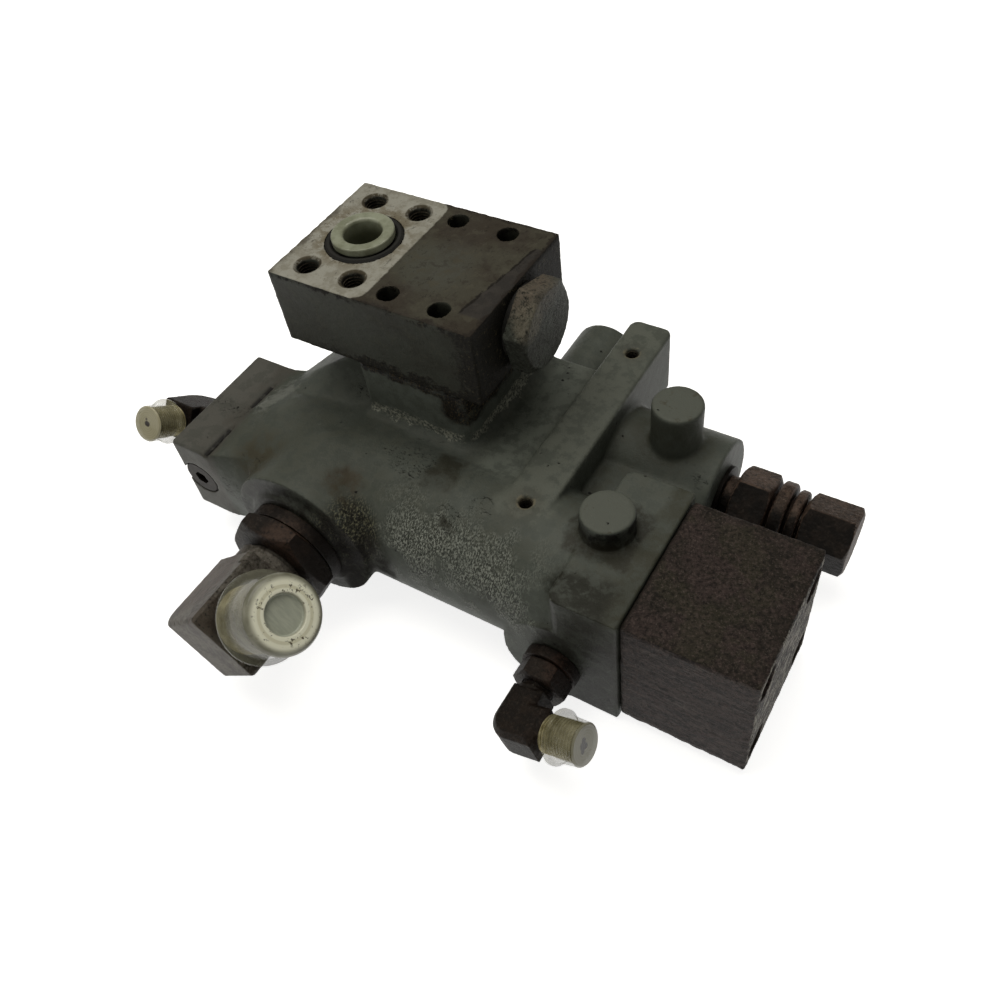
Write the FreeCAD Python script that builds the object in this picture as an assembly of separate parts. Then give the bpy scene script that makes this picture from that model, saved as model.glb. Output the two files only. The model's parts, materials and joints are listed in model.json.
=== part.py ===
import FreeCAD, Part
import math
import os

# Hose rupture valve for a hydraulic cylinder. Lengths are in millimetres.
# The origin is the centre of the flange port in the valve block's top face. +Z points out of that
# port, +X runs along the casting towards the pilot cap, and +Y points away from the hose port.

V = FreeCAD.Vector
ORIGIN = V(0, 0, 0)
AXIS_X = V(1, 0, 0)
AXIS_Y = V(0, 1, 0)
AXIS_Z = V(0, 0, 1)

# Clearances
SEAT_GAP = 0.3          # between a loose piece or a seal and what it rests on
THREAD_GAP = 0.1        # between a screw's plain cylinder and its hole, on the radius
RUN_FIT = 0.03          # between a sliding piece and its bore, on the radius
HEAD_GAP = 0.4          # between a sunk screw head and its counterbore, on the radius
SEAL_GAP = 0.05         # between a small seal and its groove, on the radius

# Shapes that screws, nuts and holes share
HEX_FACE_SHARE = 0.97   # round face of a hexagon, as a share of its width across flats
HEX_SLOPE = 0.6         # rise of the chamfer on a hexagon's corners
SCREW_EDGE_SHARE = 0.08 # edge chamfer of a screw head, as a share of its radius
SOCKET_SHARE = 0.55     # depth of a screw's socket, as a share of its head
DRILL_POINT = 0.6       # length of a drill's point, as a share of its radius
BEYOND = 1.0            # how far a cutting tool reaches out of the metal
LAP = 1.0               # how far a form of the casting reaches into the next one

# Valve block and its flange port, a 1 inch high-pressure split-flange face
BLOCK_LENGTH = 118.5
BLOCK_WIDTH = 82.5
BLOCK_HEIGHT = 43.1
PORT_TO_LEFT_END = 30.0
FLANGE_PITCH_X = 27.76
FLANGE_PITCH_Y = 57.15
FLANGE_TAP_R = 5.15
FLANGE_HOLE_DEPTH = 27.0
FLANGE_MOUTH_R = 6.8
PORT_R = 12.6
PORT_GROOVE_R = 20.0
PORT_GROOVE_DEPTH = 2.8
PORT_LIP = 2.6          # wall between the port and the seal groove
PORT_SEAL_SECTION = 3.5
SEAL_CORNER_SHARE = 0.29 # corners taken off its round section
BLOCK_CORNER_R = 1.2

# Four sunk screws that hold the block on the casting
BLOCK_SCREW_PITCH_X = 28.8
BLOCK_SCREW_PITCH_Y = 61.3
BLOCK_SCREW_CENTRE_X = 50.7
BLOCK_SCREW_R = 3.0
BLOCK_SCREW_HEAD_R = 4.9
BLOCK_SCREW_HEAD = 6.0
BLOCK_SCREW_SUNK = 16.0
BLOCK_SCREW_GRIP = 15.0 # thread length in the casting
BLOCK_SOCKET = 5.0      # across the flats of the screw's socket

# Load-holding poppet in the block, on the axis of the large hexagon plug
POPPET_AXIS_DEPTH = 21.6
POPPET_SEAT_X = 16.0
POPPET_SEAT_R = 9.0
POPPET_CHAMBER_R = 16.0
POPPET_CHAMBER = 16.0
POPPET_R = 12.0
POPPET_END_GAP = 7.5    # from the open poppet to the hexagon plug
POPPET_TIP = 3.0        # how far its cone reaches through the seat
POPPET_FLOOR = 12.0     # from the seat to the floor of its pocket
POPPET_WALL = 3.6
POPPET_STROKE = 7.0
POPPET_ORIFICE_R = 0.8
POPPET_SPRING_WIRE = 2.2

# Large hexagon plug that closes the poppet bore
PLUG_THREAD_R = 15.0
PLUG_SHANK = 27.0
PLUG_HEX = 41.0
PLUG_HEX_LENGTH = 12.0
PLUG_SEAL_THICK = 3.0
PLUG_SEAL_WALL = 3.2
PLUG_TURN = 12.0        # angle at which the tightened hexagon stands
PLUG_POCKET_SHARE = 0.35
PLUG_LEAD = 1.5         # chamfer at the end of its thread

# White plug in the flange port
PORT_PLUG_RIM_R = 16.0
PORT_PLUG_RIM = 4.0
PORT_PLUG_SHANK = 13.0
PORT_PLUG_WALL = 2.5
PORT_PLUG_FLOOR = 2.5
PORT_PLUG_EDGE = 1.0
PORT_PLUG_LEAD = 1.5

# Casting: neck under the block, deck, two parallel barrels and end blocks
NECK_HEIGHT = 32.0
NECK_LENGTH = 67.0
NECK_LEFT_X = 11.0
NECK_SIDE_STEP = 0.8    # how far the block overhangs the neck at the sides
NECK_SEAM = 1.9         # dark seam round the neck's raised seat
NECK_SEAM_INSET = 2.0
NECK_CORNER_R = 7.0
NECK_FOOT_R = 5.0
SHOULDER_X = -46.0      # low end of the web that falls from the neck to the left end block
SHOULDER_BACK_Y = -24.0
SHOULDER_STEP = 0.6     # below the top of the left end block
SHOULDER_WALL_Y = -27.0 # where its hollow ends under the block
SHOULDER_RIDGE = 6.0    # width of the flat ridge behind the hollow
SHOULDER_SAG = 8.0      # bottom of the hollow below the main barrel's crown
SHOULDER_SAG_Y = 20.0   # from the main axis back to the bottom of the hollow
SHOULDER_ROOT = 9.0     # below the crown, where the hollow meets the barrel under the block
MAIN_Y = -64.5
MAIN_R = 38.9
REAR_Y = 16.5
REAR_R = 31.0
REAR_DROP = 4.0         # how far the rear bore lies below the main bore
REAR_LEFT_X = 46.0
REAR_DOME = 12.0        # length of the rear barrel's cast end
REAR_DOME_SHARE = 0.75  # its radius half way along
WEB_TOP_SHARE = 0.6     # height of the web between the barrels, as a share of the rear barrel's radius
WEB_BOTTOM_SHARE = 0.7
WEB_END_GAP = 8.0
RIGHT_X = 190.0
DECK_DROP = 4.0         # from the main barrel's crown down to the deck
DECK_LEFT_X = 4.0
DECK_BACK_Y = 38.0
DECK_CORNER_R = 10.0
LEFT_X = -80.8
LEFT_BLOCK_LENGTH = 24.9
LEFT_BLOCK_WIDTH = 75.0
LEFT_BLOCK_HEIGHT = 51.7
LEFT_BLOCK_RISE = 2.4   # its centre above the main bore
LEFT_TAPER = 26.0
LEFT_CORNER_R = 1.5

# Box and pads at the casting's right end
BOX_LEFT_X = 154.5
BOX_WIDTH = 84.0
BOX_CORNER_R = 6.0
BOX_STEP = 0.6          # its front stands this much ahead of the main barrel
BOX_TOP_DROP = 0.3
BOX_DROP = 5.0          # its bottom below the main barrel
FOOT_BACK_Y = 36.0      # the casting stands on this foot, on one under the left barrel and on the pilot pad
FOOT_HEIGHT = 14.0
LEFT_FOOT_LENGTH = 40.0
LEFT_FOOT_WIDTH = 30.0
FRONT_BOSS_X = 162.6
FRONT_BOSS_Y = -57.7
BACK_BOSS_X = 163.0
BACK_BOSS_Y = 17.0
BOSS_R = 13.2
BOSS_RISE = 13.4        # above the main barrel's crown
BOSS_ROOT = 6.0         # how deep the front boss reaches into the barrel
BOSS_EDGE = 1.0
RIB_LEFT_X = 109.0
RIB_WIDTH = 24.0
RIB_FRONT_Y = -66.0
RIB_BACK_Y = 78.6
RIB_DEPTH = 39.0
RIB_CORNER_R = 5.0
RIB_RISE = 0.4          # its pads above the main barrel's crown
RIB_EDGE_R = 1.2
PAD_HOLE_X = 120.5
PAD_HOLE_PITCH = 113.7
PAD_HOLE_CENTRE_Y = -3.65
PAD_HOLE_R = 3.4
PAD_HOLE_MOUTH_R = 4.4
PAD_HOLE_DEPTH = 16.0
CROSS_X = 90.0
CROSS_RISE = 2.5        # cross drilling above the main bore
CROSS_R = 5.0
CROSS_BOSS_R = 20.0
CROSS_BOSS_Y = 86.0
CROSS_BOSS_EDGE = 2.0

# Control spool in the main bore
SPOOL_R = 13.0
BORE_LEFT_X = -62.0
SPOOL_LEFT_X = -30.0
SPOOL_WAIST_R = 8.0
SPOOL_STROKE = 8.0
SPOOL_STEM_R = 6.0
SPOOL_STEM = 7.0
SPOOL_DRAIN_R = 3.0
SPOOL_CROSS_R = 2.4
HOSE_CHAMBER_LEFT_X = -6.0
HOSE_CHAMBER_RIGHT_X = 36.0
VENT_CHAMBER_LEFT_X = 62.0
VENT_CHAMBER_RIGHT_X = 97.0
DRAIN_CHAMBER_LEFT_X = 118.0
DRAIN_CHAMBER_RIGHT_X = 132.0
CHAMBER_R = 19.0
LAND_COVER = 4.0        # length by which a land overlaps the edge that it closes
NOTCH_WIDTH = 4.0
NOTCH_DEPTH = 2.5
SPRING_SEAT_THICK = 3.0
SPRING_SEAT_GAP = 1.0   # to the bore, on the radius
SPOOL_SPRING_WIRE = 2.6
SPOOL_END_GAP = 4.0     # from the spool's right end to the casting's right face
WAIST_LEAD = 2.0        # length by which a waist begins inside its chamber
SPRING_BIAS = 0.3       # spring's middle radius beyond the middle of its gap
VENT_R = 3.0
VENT_INSET = 0.6        # from the end of the plug's thread to the vent hole
NECK_PASSAGE_R = 9.0
FACE_SEAL_SECTION = 1.4 # section of a face seal, before the share of its passage's radius
FACE_SEAL_SHARE = 0.1333

# Pilot cap, the square block bolted on the casting's right end
CAP_LENGTH = 64.0
CAP_WIDTH = 79.0
CAP_HEIGHT = 79.0
CAP_EDGE = 1.0
CAP_STEP = 1.0          # its front stands this much behind the box's
CAP_BORE_R = 10.0
CAP_BORE_DEPTH = 46.0
CAP_BORE_POINT = 4.0
CAP_SCREW_PITCH = 54.0
CAP_SCREW_R = 5.0
CAP_SCREW_HEAD_R = 8.0
CAP_SCREW_HEAD = 10.0
CAP_SCREW_SUNK = 12.0
CAP_SCREW_GRIP = 18.0
CAP_SOCKET = 8.0
CAP_SEAL_SECTION = 2.4
PISTON_LENGTH = 28.0
PISTON_NOSE_R = 6.0
PISTON_NOSE = 10.0
PISTON_GROOVE = 3.0
PISTON_SEAL_DEPTH = 2.1
PISTON_EDGE = 1.0
PILOT_PASSAGE_R = 2.5
PILOT_OFFSET_Y = -16.0
PILOT_DROP = 17.0

# Plugs with a hexagon socket that close the drillings
SOCKET_PLUG_X = -69.7
SOCKET_PLUG_R = 11.0
SOCKET_PLUG_DEPTH = 12.0
SOCKET_PLUG_KEY = 8.0
CROSS_PLUG_R = 9.0
CROSS_PLUG_DEPTH = 14.0
CROSS_PLUG_KEY = 8.0
SOCKET_PLUG_SUNK = 0.4
SOCKET_PLUG_EDGE = 0.8
SOCKET_PLUG_TURN = 15.0
SOCKET_PLUG_HOLLOW = 0.5 # depth of its hexagon socket, as a share of the plug

# Hose port: large forged elbow with its lock nut and protective cap
HOSE_X = 8.0
HOSE_RISE = 1.0         # port axis above the main bore
HOSE_BOSS_R = 31.0
HOSE_BASE_R = 41.4      # where the boss runs out into the barrel
HOSE_BASE_STEP = 3.2
HOSE_BASE_FLAT = 1.5
HOSE_BOSS_EDGE = 1.2
HOSE_BOSS_Y = -110.5
HOSE_PORT_R = 12.0
HOSE_STEM_R = 16.5
HOSE_STEM_DEPTH = 16.0
HOSE_NUT_FLATS = 54.0
HOSE_NUT = 12.0
HOSE_COLLAR_R = 27.0
HOSE_COLLAR = 7.5
HOSE_ELBOW_Y = -167.0
HOSE_BODY = 20.5        # half the width of the forged body
HOSE_BODY_FRONT = 18.7  # from the elbow's centre to its front
HOSE_BODY_BACK = 28.0   # from the elbow's centre back to the stem's shoulder
HOSE_BODY_OUT = 26.0
HOSE_HEEL_R = 11.0      # round heel of the forging
HOSE_RIM = 1.6          # chamfer round the forging's sides
HOSE_THREAD_R = 16.5
HOSE_THREAD = 33.0
HOSE_OUTLET_ANGLE = 40.5
HOSE_CAP_RING_R = 22.2
HOSE_CAP_START = 43.5
HOSE_CAP_WALL = 2.2
HOSE_CAP_TAPER = 0.2    # the cap gets this much slimmer towards its closed end
HOSE_CAP_END = 70.0
HOSE_CAP_EDGE = 2.5
HOSE_CAP_RECESS_R = 9.2
HOSE_CAP_RECESS = 19.0

# Pilot port and drain port: two small elbows of one size, with bodies of their own
SMALL_PORT_R = 4.0
SMALL_STEM_R = 8.0
SMALL_STEM_DEPTH = 11.0
SMALL_NUT_FLATS = 25.0
SMALL_COLLAR_R = 14.5
SMALL_BODY_OUT = 18.0
SMALL_HEEL_R = 12.0
SMALL_THREAD_R = 9.0
SMALL_THREAD = 19.0
SMALL_CAP_RING_R = 13.0
SMALL_CAP_START = 24.5
SMALL_CAP_WALL = 1.8
SMALL_CAP_TAPER = 0.9
SMALL_CAP_END = 39.2
SMALL_CAP_EDGE = 0.8
PILOT_X = 156.0
PILOT_PAD_R = 28.6
PILOT_BODY = 9.0
PILOT_BODY_FRONT = 12.0
PILOT_RIM = 2.6
PILOT_COLLAR = 6.0
PILOT_NUT = 10.5
PILOT_BODY_BACK = 16.6  # from the elbow's centre back to its neck
PILOT_REACH = 35.6      # from the port face to the elbow's centre
PILOT_OUTLET_ANGLE = 20.5
DRAIN_BODY = 11.0
DRAIN_BODY_FRONT = 10.0
DRAIN_RIM = 0.8
DRAIN_COLLAR = 3.5
DRAIN_NUT = 8.0
DRAIN_BODY_BACK = 14.0
DRAIN_REACH = 26.5
DRAIN_OUTLET_ANGLE = 37.0

# Shapes that both sizes of elbow share
THREAD_RELIEF = 2.0     # width of the groove where an elbow's thread begins
THREAD_RELIEF_DEPTH = 1.0
NECK_GAP = 2.0          # from an elbow's neck to its lock nut
NECK_SHARE = 0.97       # radius of that neck, as a share of half the forging
STEM_END_GAP = 0.5
MOUTH_DEPTH_SHARE = 0.35
MOUTH_SHARE = 0.86      # widest radius of an elbow's coned mouth, as a share of its thread
STEM_WALL = 1.0         # the stem's bore is this much narrower than the outlet's, on the radius

# Relief valve on the rear bore
RELIEF_BORE_R = 11.0
RELIEF_BORE_LEFT_X = 112.0
RELIEF_THREAD = 34.0
RELIEF_NOSE_R = 8.0
RELIEF_SPRING_R = 6.0
RELIEF_SEAT_R = 2.6
RELIEF_HEX = 36.0
RELIEF_HEX_LENGTH = 19.0
RELIEF_THROAT = 5.6     # dark neck between the washer and the first hexagon
RELIEF_THROAT_R = 12.5
RELIEF_NECK_R = 13.0
RELIEF_NUT_R = 19.0
RELIEF_NUT = 7.0
RELIEF_RING_R = 17.2
RELIEF_RING = 5.0
RELIEF_GROOVE = 1.6
RELIEF_CAP_HEX = 32.0
RELIEF_CAP_LENGTH = 25.7
RELIEF_HEX_TURN = 8.0
RELIEF_NUT_EDGE = 1.0
RELIEF_HOLLOW_SHARE = 0.75
RELIEF_ADJUSTER_SHARE = 0.6
RELIEF_STUB_R = 10.0
RELIEF_SEAT_DEPTH = 9.0 # from the cartridge's nose to its seat
RELIEF_POPPET = 16.0
RELIEF_GUIDE = 6.0      # from the seat to the poppet's collar
RELIEF_GUIDE_LENGTH = 5.0
RELIEF_SPRING = 26.0
RELIEF_SPRING_WIRE = 1.6
RELIEF_KEY = 5.0
RELIEF_KEY_DEPTH = 6.0
RELIEF_WASHER_SHARE = 0.47
RELIEF_SEAL_START = 2.0 # from the end of the bore to the nose seal
RELIEF_SEAL_LENGTH = 3.0
RELIEF_STEM_STEP = 1.2  # the poppet's stem beyond its tip, on the radius
RELIEF_TIP = 2.0
SPRING_SIDE_GAP = 0.5
RELIEF_VENT_R = 1.6

# Protective caps
CAP_RING_THICK = 3.0
CAP_SIDE_GAP = 0.3
BONDED_WASHER = 2.0

# Heights and ends that follow from the sizes above
BLOCK_LEFT_X = -PORT_TO_LEFT_END
BLOCK_RIGHT_X = BLOCK_LEFT_X + BLOCK_LENGTH
POPPET_Z = -POPPET_AXIS_DEPTH
CROWN_Z = -BLOCK_HEIGHT - NECK_HEIGHT
MAIN_Z = CROWN_Z - MAIN_R
NECK_TOP_Z = -BLOCK_HEIGHT - NECK_SEAM
DECK_Z = CROWN_Z - DECK_DROP
REAR_Z = MAIN_Z - REAR_DROP
BASE_Z = MAIN_Z - MAIN_R
PAD_Z = CROWN_Z + RIB_RISE
CROSS_Z = MAIN_Z + CROSS_RISE
LEFT_STEP_X = LEFT_X + LEFT_BLOCK_LENGTH
LEFT_BLOCK_Z = MAIN_Z + LEFT_BLOCK_RISE
BOX_FRONT_Y = MAIN_Y - MAIN_R - BOX_STEP
BOX_TOP_Z = CROWN_Z - BOX_TOP_DROP
CAP_FRONT_Y = BOX_FRONT_Y + CAP_STEP
HOSE_Z = MAIN_Z + HOSE_RISE
PILOT_Z = MAIN_Z - PILOT_DROP
FOOT_Z = PILOT_Z - PILOT_PAD_R
PILOT_PASSAGE_Y = MAIN_Y + PILOT_OFFSET_Y
SPOOL_RIGHT_X = RIGHT_X - SPOOL_END_GAP
NECK_PASSAGE_X = POPPET_SEAT_X + POPPET_CHAMBER / 2
PLUG_INNER_X = BLOCK_RIGHT_X - PLUG_SHANK
VENT_X = PLUG_INNER_X + VENT_R + VENT_INSET


def box(x0, x1, y0, y1, z0, z1):
    return Part.makeBox(x1 - x0, y1 - y0, z1 - z0, V(x0, y0, z0))


def rod(start, direction, radius, length):
    return Part.makeCylinder(radius, length, start, direction)


def turned(profile, origin, direction):
    """Solid of revolution. The profile is a closed outline of (distance along the axis, radius) points."""
    points = [V(radius, 0, distance) for distance, radius in profile]
    outline = Part.Face(Part.makePolygon(points + points[:1]))
    solid = outline.revolve(ORIGIN, AXIS_Z, 360)
    solid.Placement = FreeCAD.Placement(origin, FreeCAD.Rotation(AXIS_Z, direction))
    return solid


def ring(start, direction, inner, outer, thickness):
    """Flat ring, such as a washer or a seal squeezed flat in its groove."""
    outline = [(0, inner), (thickness, inner), (thickness, outer), (0, outer)]
    return turned(outline, start, direction)


def prism(start, direction, flats, length, turn=0.0):
    """Hexagonal prism, measured across its flats."""
    corner = flats / math.sqrt(3)
    angles = [math.radians(turn + 60 * i) for i in range(7)]
    outline = Part.makePolygon([V(corner * math.cos(a), corner * math.sin(a), 0) for a in angles])
    solid = Part.Face(outline).extrude(V(0, 0, length))
    solid.Placement = FreeCAD.Placement(start, FreeCAD.Rotation(AXIS_Z, direction))
    return solid


def hexagon(start, direction, flats, length, turn=0.0, both_ends=True):
    """Wrench hexagon with the cone chamfer of a turned bar on its corners."""
    corner = flats / math.sqrt(3)
    face_r = flats / 2 * HEX_FACE_SHARE
    slope = (corner - face_r) * HEX_SLOPE
    low = [(0, 0), (0, face_r), (slope, corner)] if both_ends else [(0, 0), (0, corner)]
    envelope = turned(low + [(length - slope, corner), (length, face_r), (length, 0)], start, direction)
    return prism(start, direction, flats, length, turn).common(envelope)


def edges_along(shape, direction):
    """Straight edges of a shape that run parallel to a direction."""
    found = []
    for edge in shape.Edges:
        run = edge.Vertexes[-1].Point - edge.Vertexes[0].Point
        if run.Length > 0.1 and abs(run.normalize().dot(direction)) > 0.999:
            found.append(edge)
    return found


def rounded_box(x0, x1, y0, y1, z0, z1, direction, radius):
    """Box with its four edges along one direction rounded."""
    shape = box(x0, x1, y0, y1, z0, z1)
    return shape.makeFillet(radius, edges_along(shape, direction))


def end_box(x0, y0, y1, z0, z1):
    """Box at the casting's right end. Its upright left edges are rounded and its right edges stay sharp."""
    shape = box(x0, RIGHT_X, y0, y1, z0, z1)
    left = [edge for edge in edges_along(shape, AXIS_Z) if edge.CenterOfMass.x < (x0 + RIGHT_X) / 2]
    return shape.makeFillet(BOX_CORNER_R, left)


def socket_screw(head_top, direction, shank_r, head_r, head, length, key):
    """Socket-head screw. The direction points from its head to its tip."""
    edge = SCREW_EDGE_SHARE * head_r
    outline = [(0, 0), (0, head_r - edge), (edge, head_r), (head, head_r), (head, shank_r)]
    outline += [(head + length - edge, shank_r), (head + length, shank_r - edge), (head + length, 0)]
    return turned(outline, head_top, direction).cut(prism(head_top, direction, key, head * SOCKET_SHARE))


def coil(start, direction, mean_r, wire, length, turns):
    """Compression spring of square wire. It starts and ends on flat seats, at rest length."""
    height = length - wire
    path = Part.makeHelix(height / turns, height, mean_r)
    half = wire / 2
    corners = [V(mean_r - half, 0, -half), V(mean_r + half, 0, -half)]
    corners += [V(mean_r + half, 0, half), V(mean_r - half, 0, half)]
    section = Part.makePolygon(corners + corners[:1])
    solid = Part.Wire(path).makePipeShell([section], True, True)
    place = FreeCAD.Placement(start + direction * half, FreeCAD.Rotation(AXIS_Z, direction))
    solid.Placement = place
    return solid


def four(centre, along_u, along_v, pitch_u, pitch_v):
    """Corners of a rectangle of holes round a centre."""
    signs = [(-1, -1), (1, -1), (1, 1), (-1, 1)]
    return [centre + along_u * (u * pitch_u / 2) + along_v * (v * pitch_v / 2) for u, v in signs]


def joined(shapes):
    """Fuses a list of shapes into one solid."""
    return shapes[0].multiFuse(shapes[1:])


def flange_holes():
    return four(ORIGIN, AXIS_X, AXIS_Y, FLANGE_PITCH_X, FLANGE_PITCH_Y)


def block_screw_places():
    centre = V(BLOCK_SCREW_CENTRE_X, 0, 0)
    return four(centre, AXIS_X, AXIS_Y, BLOCK_SCREW_PITCH_X, BLOCK_SCREW_PITCH_Y)


def cap_screw_places():
    return four(V(RIGHT_X, MAIN_Y, MAIN_Z), AXIS_Y, AXIS_Z, CAP_SCREW_PITCH, CAP_SCREW_PITCH)


def tapped(place, direction, radius, mouth_r, depth):
    """Blind tapped hole with its countersunk mouth and drill point. The direction points into the metal."""
    sink = mouth_r - radius
    outline = [(-BEYOND, 0), (-BEYOND, mouth_r + BEYOND), (sink, radius), (depth, radius)]
    outline.append((depth + radius * DRILL_POINT, 0))
    return turned(outline, place, direction)


def valve_block():
    body = rounded_box(BLOCK_LEFT_X, BLOCK_RIGHT_X, -BLOCK_WIDTH / 2, BLOCK_WIDTH / 2, -BLOCK_HEIGHT, 0,
                       AXIS_Z, BLOCK_CORNER_R)
    cuts = [tapped(place, -AXIS_Z, FLANGE_TAP_R, FLANGE_MOUTH_R, FLANGE_HOLE_DEPTH)
            for place in flange_holes()]
    cuts.append(rod(ORIGIN, -AXIS_Z, PORT_R, POPPET_AXIS_DEPTH))
    cuts.append(ring(V(0, 0, -PORT_GROOVE_DEPTH), AXIS_Z, PORT_R + PORT_LIP, PORT_GROOVE_R,
                     PORT_GROOVE_DEPTH + BEYOND))
    axis_start = V(0, 0, POPPET_Z)
    chamber_end = POPPET_SEAT_X + POPPET_CHAMBER
    bore = [(-PORT_R, 0), (-PORT_R, POPPET_SEAT_R), (POPPET_SEAT_X, POPPET_SEAT_R)]
    bore += [(POPPET_SEAT_X, POPPET_CHAMBER_R), (chamber_end, POPPET_CHAMBER_R), (chamber_end, POPPET_R)]
    bore += [(PLUG_INNER_X, POPPET_R), (PLUG_INNER_X, PLUG_THREAD_R)]
    bore += [(BLOCK_RIGHT_X + BEYOND, PLUG_THREAD_R), (BLOCK_RIGHT_X + BEYOND, 0)]
    cuts.append(turned(bore, axis_start, AXIS_X))
    rise = BLOCK_HEIGHT + BEYOND + POPPET_Z
    for x, radius in ((NECK_PASSAGE_X, NECK_PASSAGE_R), (VENT_X, VENT_R)):
        cuts.append(rod(V(x, 0, -BLOCK_HEIGHT - BEYOND), AXIS_Z, radius, rise))
    for place in block_screw_places():
        cuts.append(rod(place, -AXIS_Z, BLOCK_SCREW_HEAD_R + HEAD_GAP, BLOCK_SCREW_SUNK + BLOCK_SCREW_HEAD))
        cuts.append(rod(place, -AXIS_Z, BLOCK_SCREW_R + HEAD_GAP, BLOCK_HEIGHT + BEYOND))
    return body.cut(cuts)


def block_screws():
    top = V(0, 0, -BLOCK_SCREW_SUNK)
    length = BLOCK_HEIGHT - BLOCK_SCREW_SUNK - BLOCK_SCREW_HEAD + BLOCK_SCREW_GRIP
    return Part.makeCompound([socket_screw(place + top, -AXIS_Z, BLOCK_SCREW_R, BLOCK_SCREW_HEAD_R,
                                           BLOCK_SCREW_HEAD, length, BLOCK_SOCKET)
                              for place in block_screw_places()])


def face_seal(start, direction, passage_r, section):
    """Seal in a groove of the lower face, round a passage that crosses a joint between two pieces."""
    inner = passage_r + section
    return ring(start, direction, inner + SEAT_GAP / 2, inner + section, section - SEAT_GAP / 2)


def face_groove(start, direction, passage_r, section):
    inner = passage_r + section
    return ring(start, direction, inner, inner + section + SEAT_GAP / 2, section)


def casting():
    """Outer form of the housing: barrels, end blocks, neck, deck, rib, pads and bosses."""
    taper_end = LEFT_STEP_X + LEFT_TAPER
    forms = [rod(V(taper_end, MAIN_Y, MAIN_Z), AXIS_X, MAIN_R, RIGHT_X - taper_end)]
    forms.append(left_end())
    forms.append(neck_and_deck())
    forms.append(shoulder())
    forms.append(rear_barrel())
    forms.append(web())
    forms.append(end_box(BOX_LEFT_X, BOX_FRONT_Y, BOX_FRONT_Y + BOX_WIDTH, BASE_Z - BOX_DROP, BOX_TOP_Z))
    forms.append(end_box(BOX_LEFT_X, MAIN_Y, FOOT_BACK_Y, FOOT_Z, FOOT_Z + FOOT_HEIGHT))
    forms.append(left_foot())
    forms.append(rib())
    forms.append(boss(V(FRONT_BOSS_X, FRONT_BOSS_Y, CROWN_Z - BOSS_ROOT)))
    forms.append(boss(V(BACK_BOSS_X, BACK_BOSS_Y, REAR_Z + REAR_R * WEB_TOP_SHARE)))
    reach = CROSS_BOSS_Y - REAR_Y
    outline = [(0, 0), (0, CROSS_BOSS_R), (reach - CROSS_BOSS_EDGE, CROSS_BOSS_R)]
    outline += [(reach, CROSS_BOSS_R - CROSS_BOSS_EDGE), (reach, 0)]
    forms.append(turned(outline, V(CROSS_X, REAR_Y, CROSS_Z), AXIS_Y))
    forms.append(hose_boss())
    forms.append(rod(V(PILOT_X, MAIN_Y, PILOT_Z), -AXIS_Y, PILOT_PAD_R, MAIN_Y - BOX_FRONT_Y))
    return joined(forms)


def rear_barrel():
    """Barrel of the relief bore, with the domed end that the casting gives it."""
    outline = [(-REAR_DOME, 0), (-REAR_DOME / 2, REAR_R * REAR_DOME_SHARE), (0, REAR_R)]
    outline += [(RIGHT_X - REAR_LEFT_X, REAR_R), (RIGHT_X - REAR_LEFT_X, 0)]
    return turned(outline, V(REAR_LEFT_X, REAR_Y, REAR_Z), AXIS_X)


def left_foot():
    """Foot under the main barrel. With the rear foot and the pilot pad it lets the casting stand level."""
    half_x = LEFT_FOOT_LENGTH / 2
    half_y = LEFT_FOOT_WIDTH / 2
    return rounded_box(-half_x, half_x, MAIN_Y - half_y, MAIN_Y + half_y, FOOT_Z, FOOT_Z + FOOT_HEIGHT,
                       AXIS_Z, BOX_CORNER_R)


def boss(root):
    """Round cast boss. Both bosses end at one height."""
    height = CROWN_Z + BOSS_RISE - root.z
    outline = [(0, 0), (0, BOSS_R), (height - BOSS_EDGE, BOSS_R), (height, BOSS_R - BOSS_EDGE), (height, 0)]
    return turned(outline, root, AXIS_Z)


def hose_boss():
    """Round boss of the hose port, run out into the main barrel with a cast radius."""
    start = V(HOSE_X, MAIN_Y, HOSE_Z)
    reach = MAIN_Y - HOSE_BOSS_Y
    base_y = HOSE_BOSS_Y + HOSE_BASE_STEP
    base = rod(start, -AXIS_Y, HOSE_BASE_R, reach - HOSE_BASE_STEP)
    whole = rod(start, -AXIS_Y, HOSE_BOSS_R, reach).fuse(base)
    rim = [edge for edge in whole.Edges if edge.BoundBox.YMax < HOSE_BOSS_Y + 0.1]
    root = [edge for edge in whole.Edges if abs(edge.BoundBox.YMin - base_y) < 0.1
            and edge.BoundBox.XLength < HOSE_BOSS_R + HOSE_BASE_R and edge.BoundBox.YLength < 0.1]
    whole = whole.makeChamfer(HOSE_BOSS_EDGE, rim)
    return whole.makeFillet(HOSE_BASE_STEP - HOSE_BASE_FLAT, root)


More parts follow.
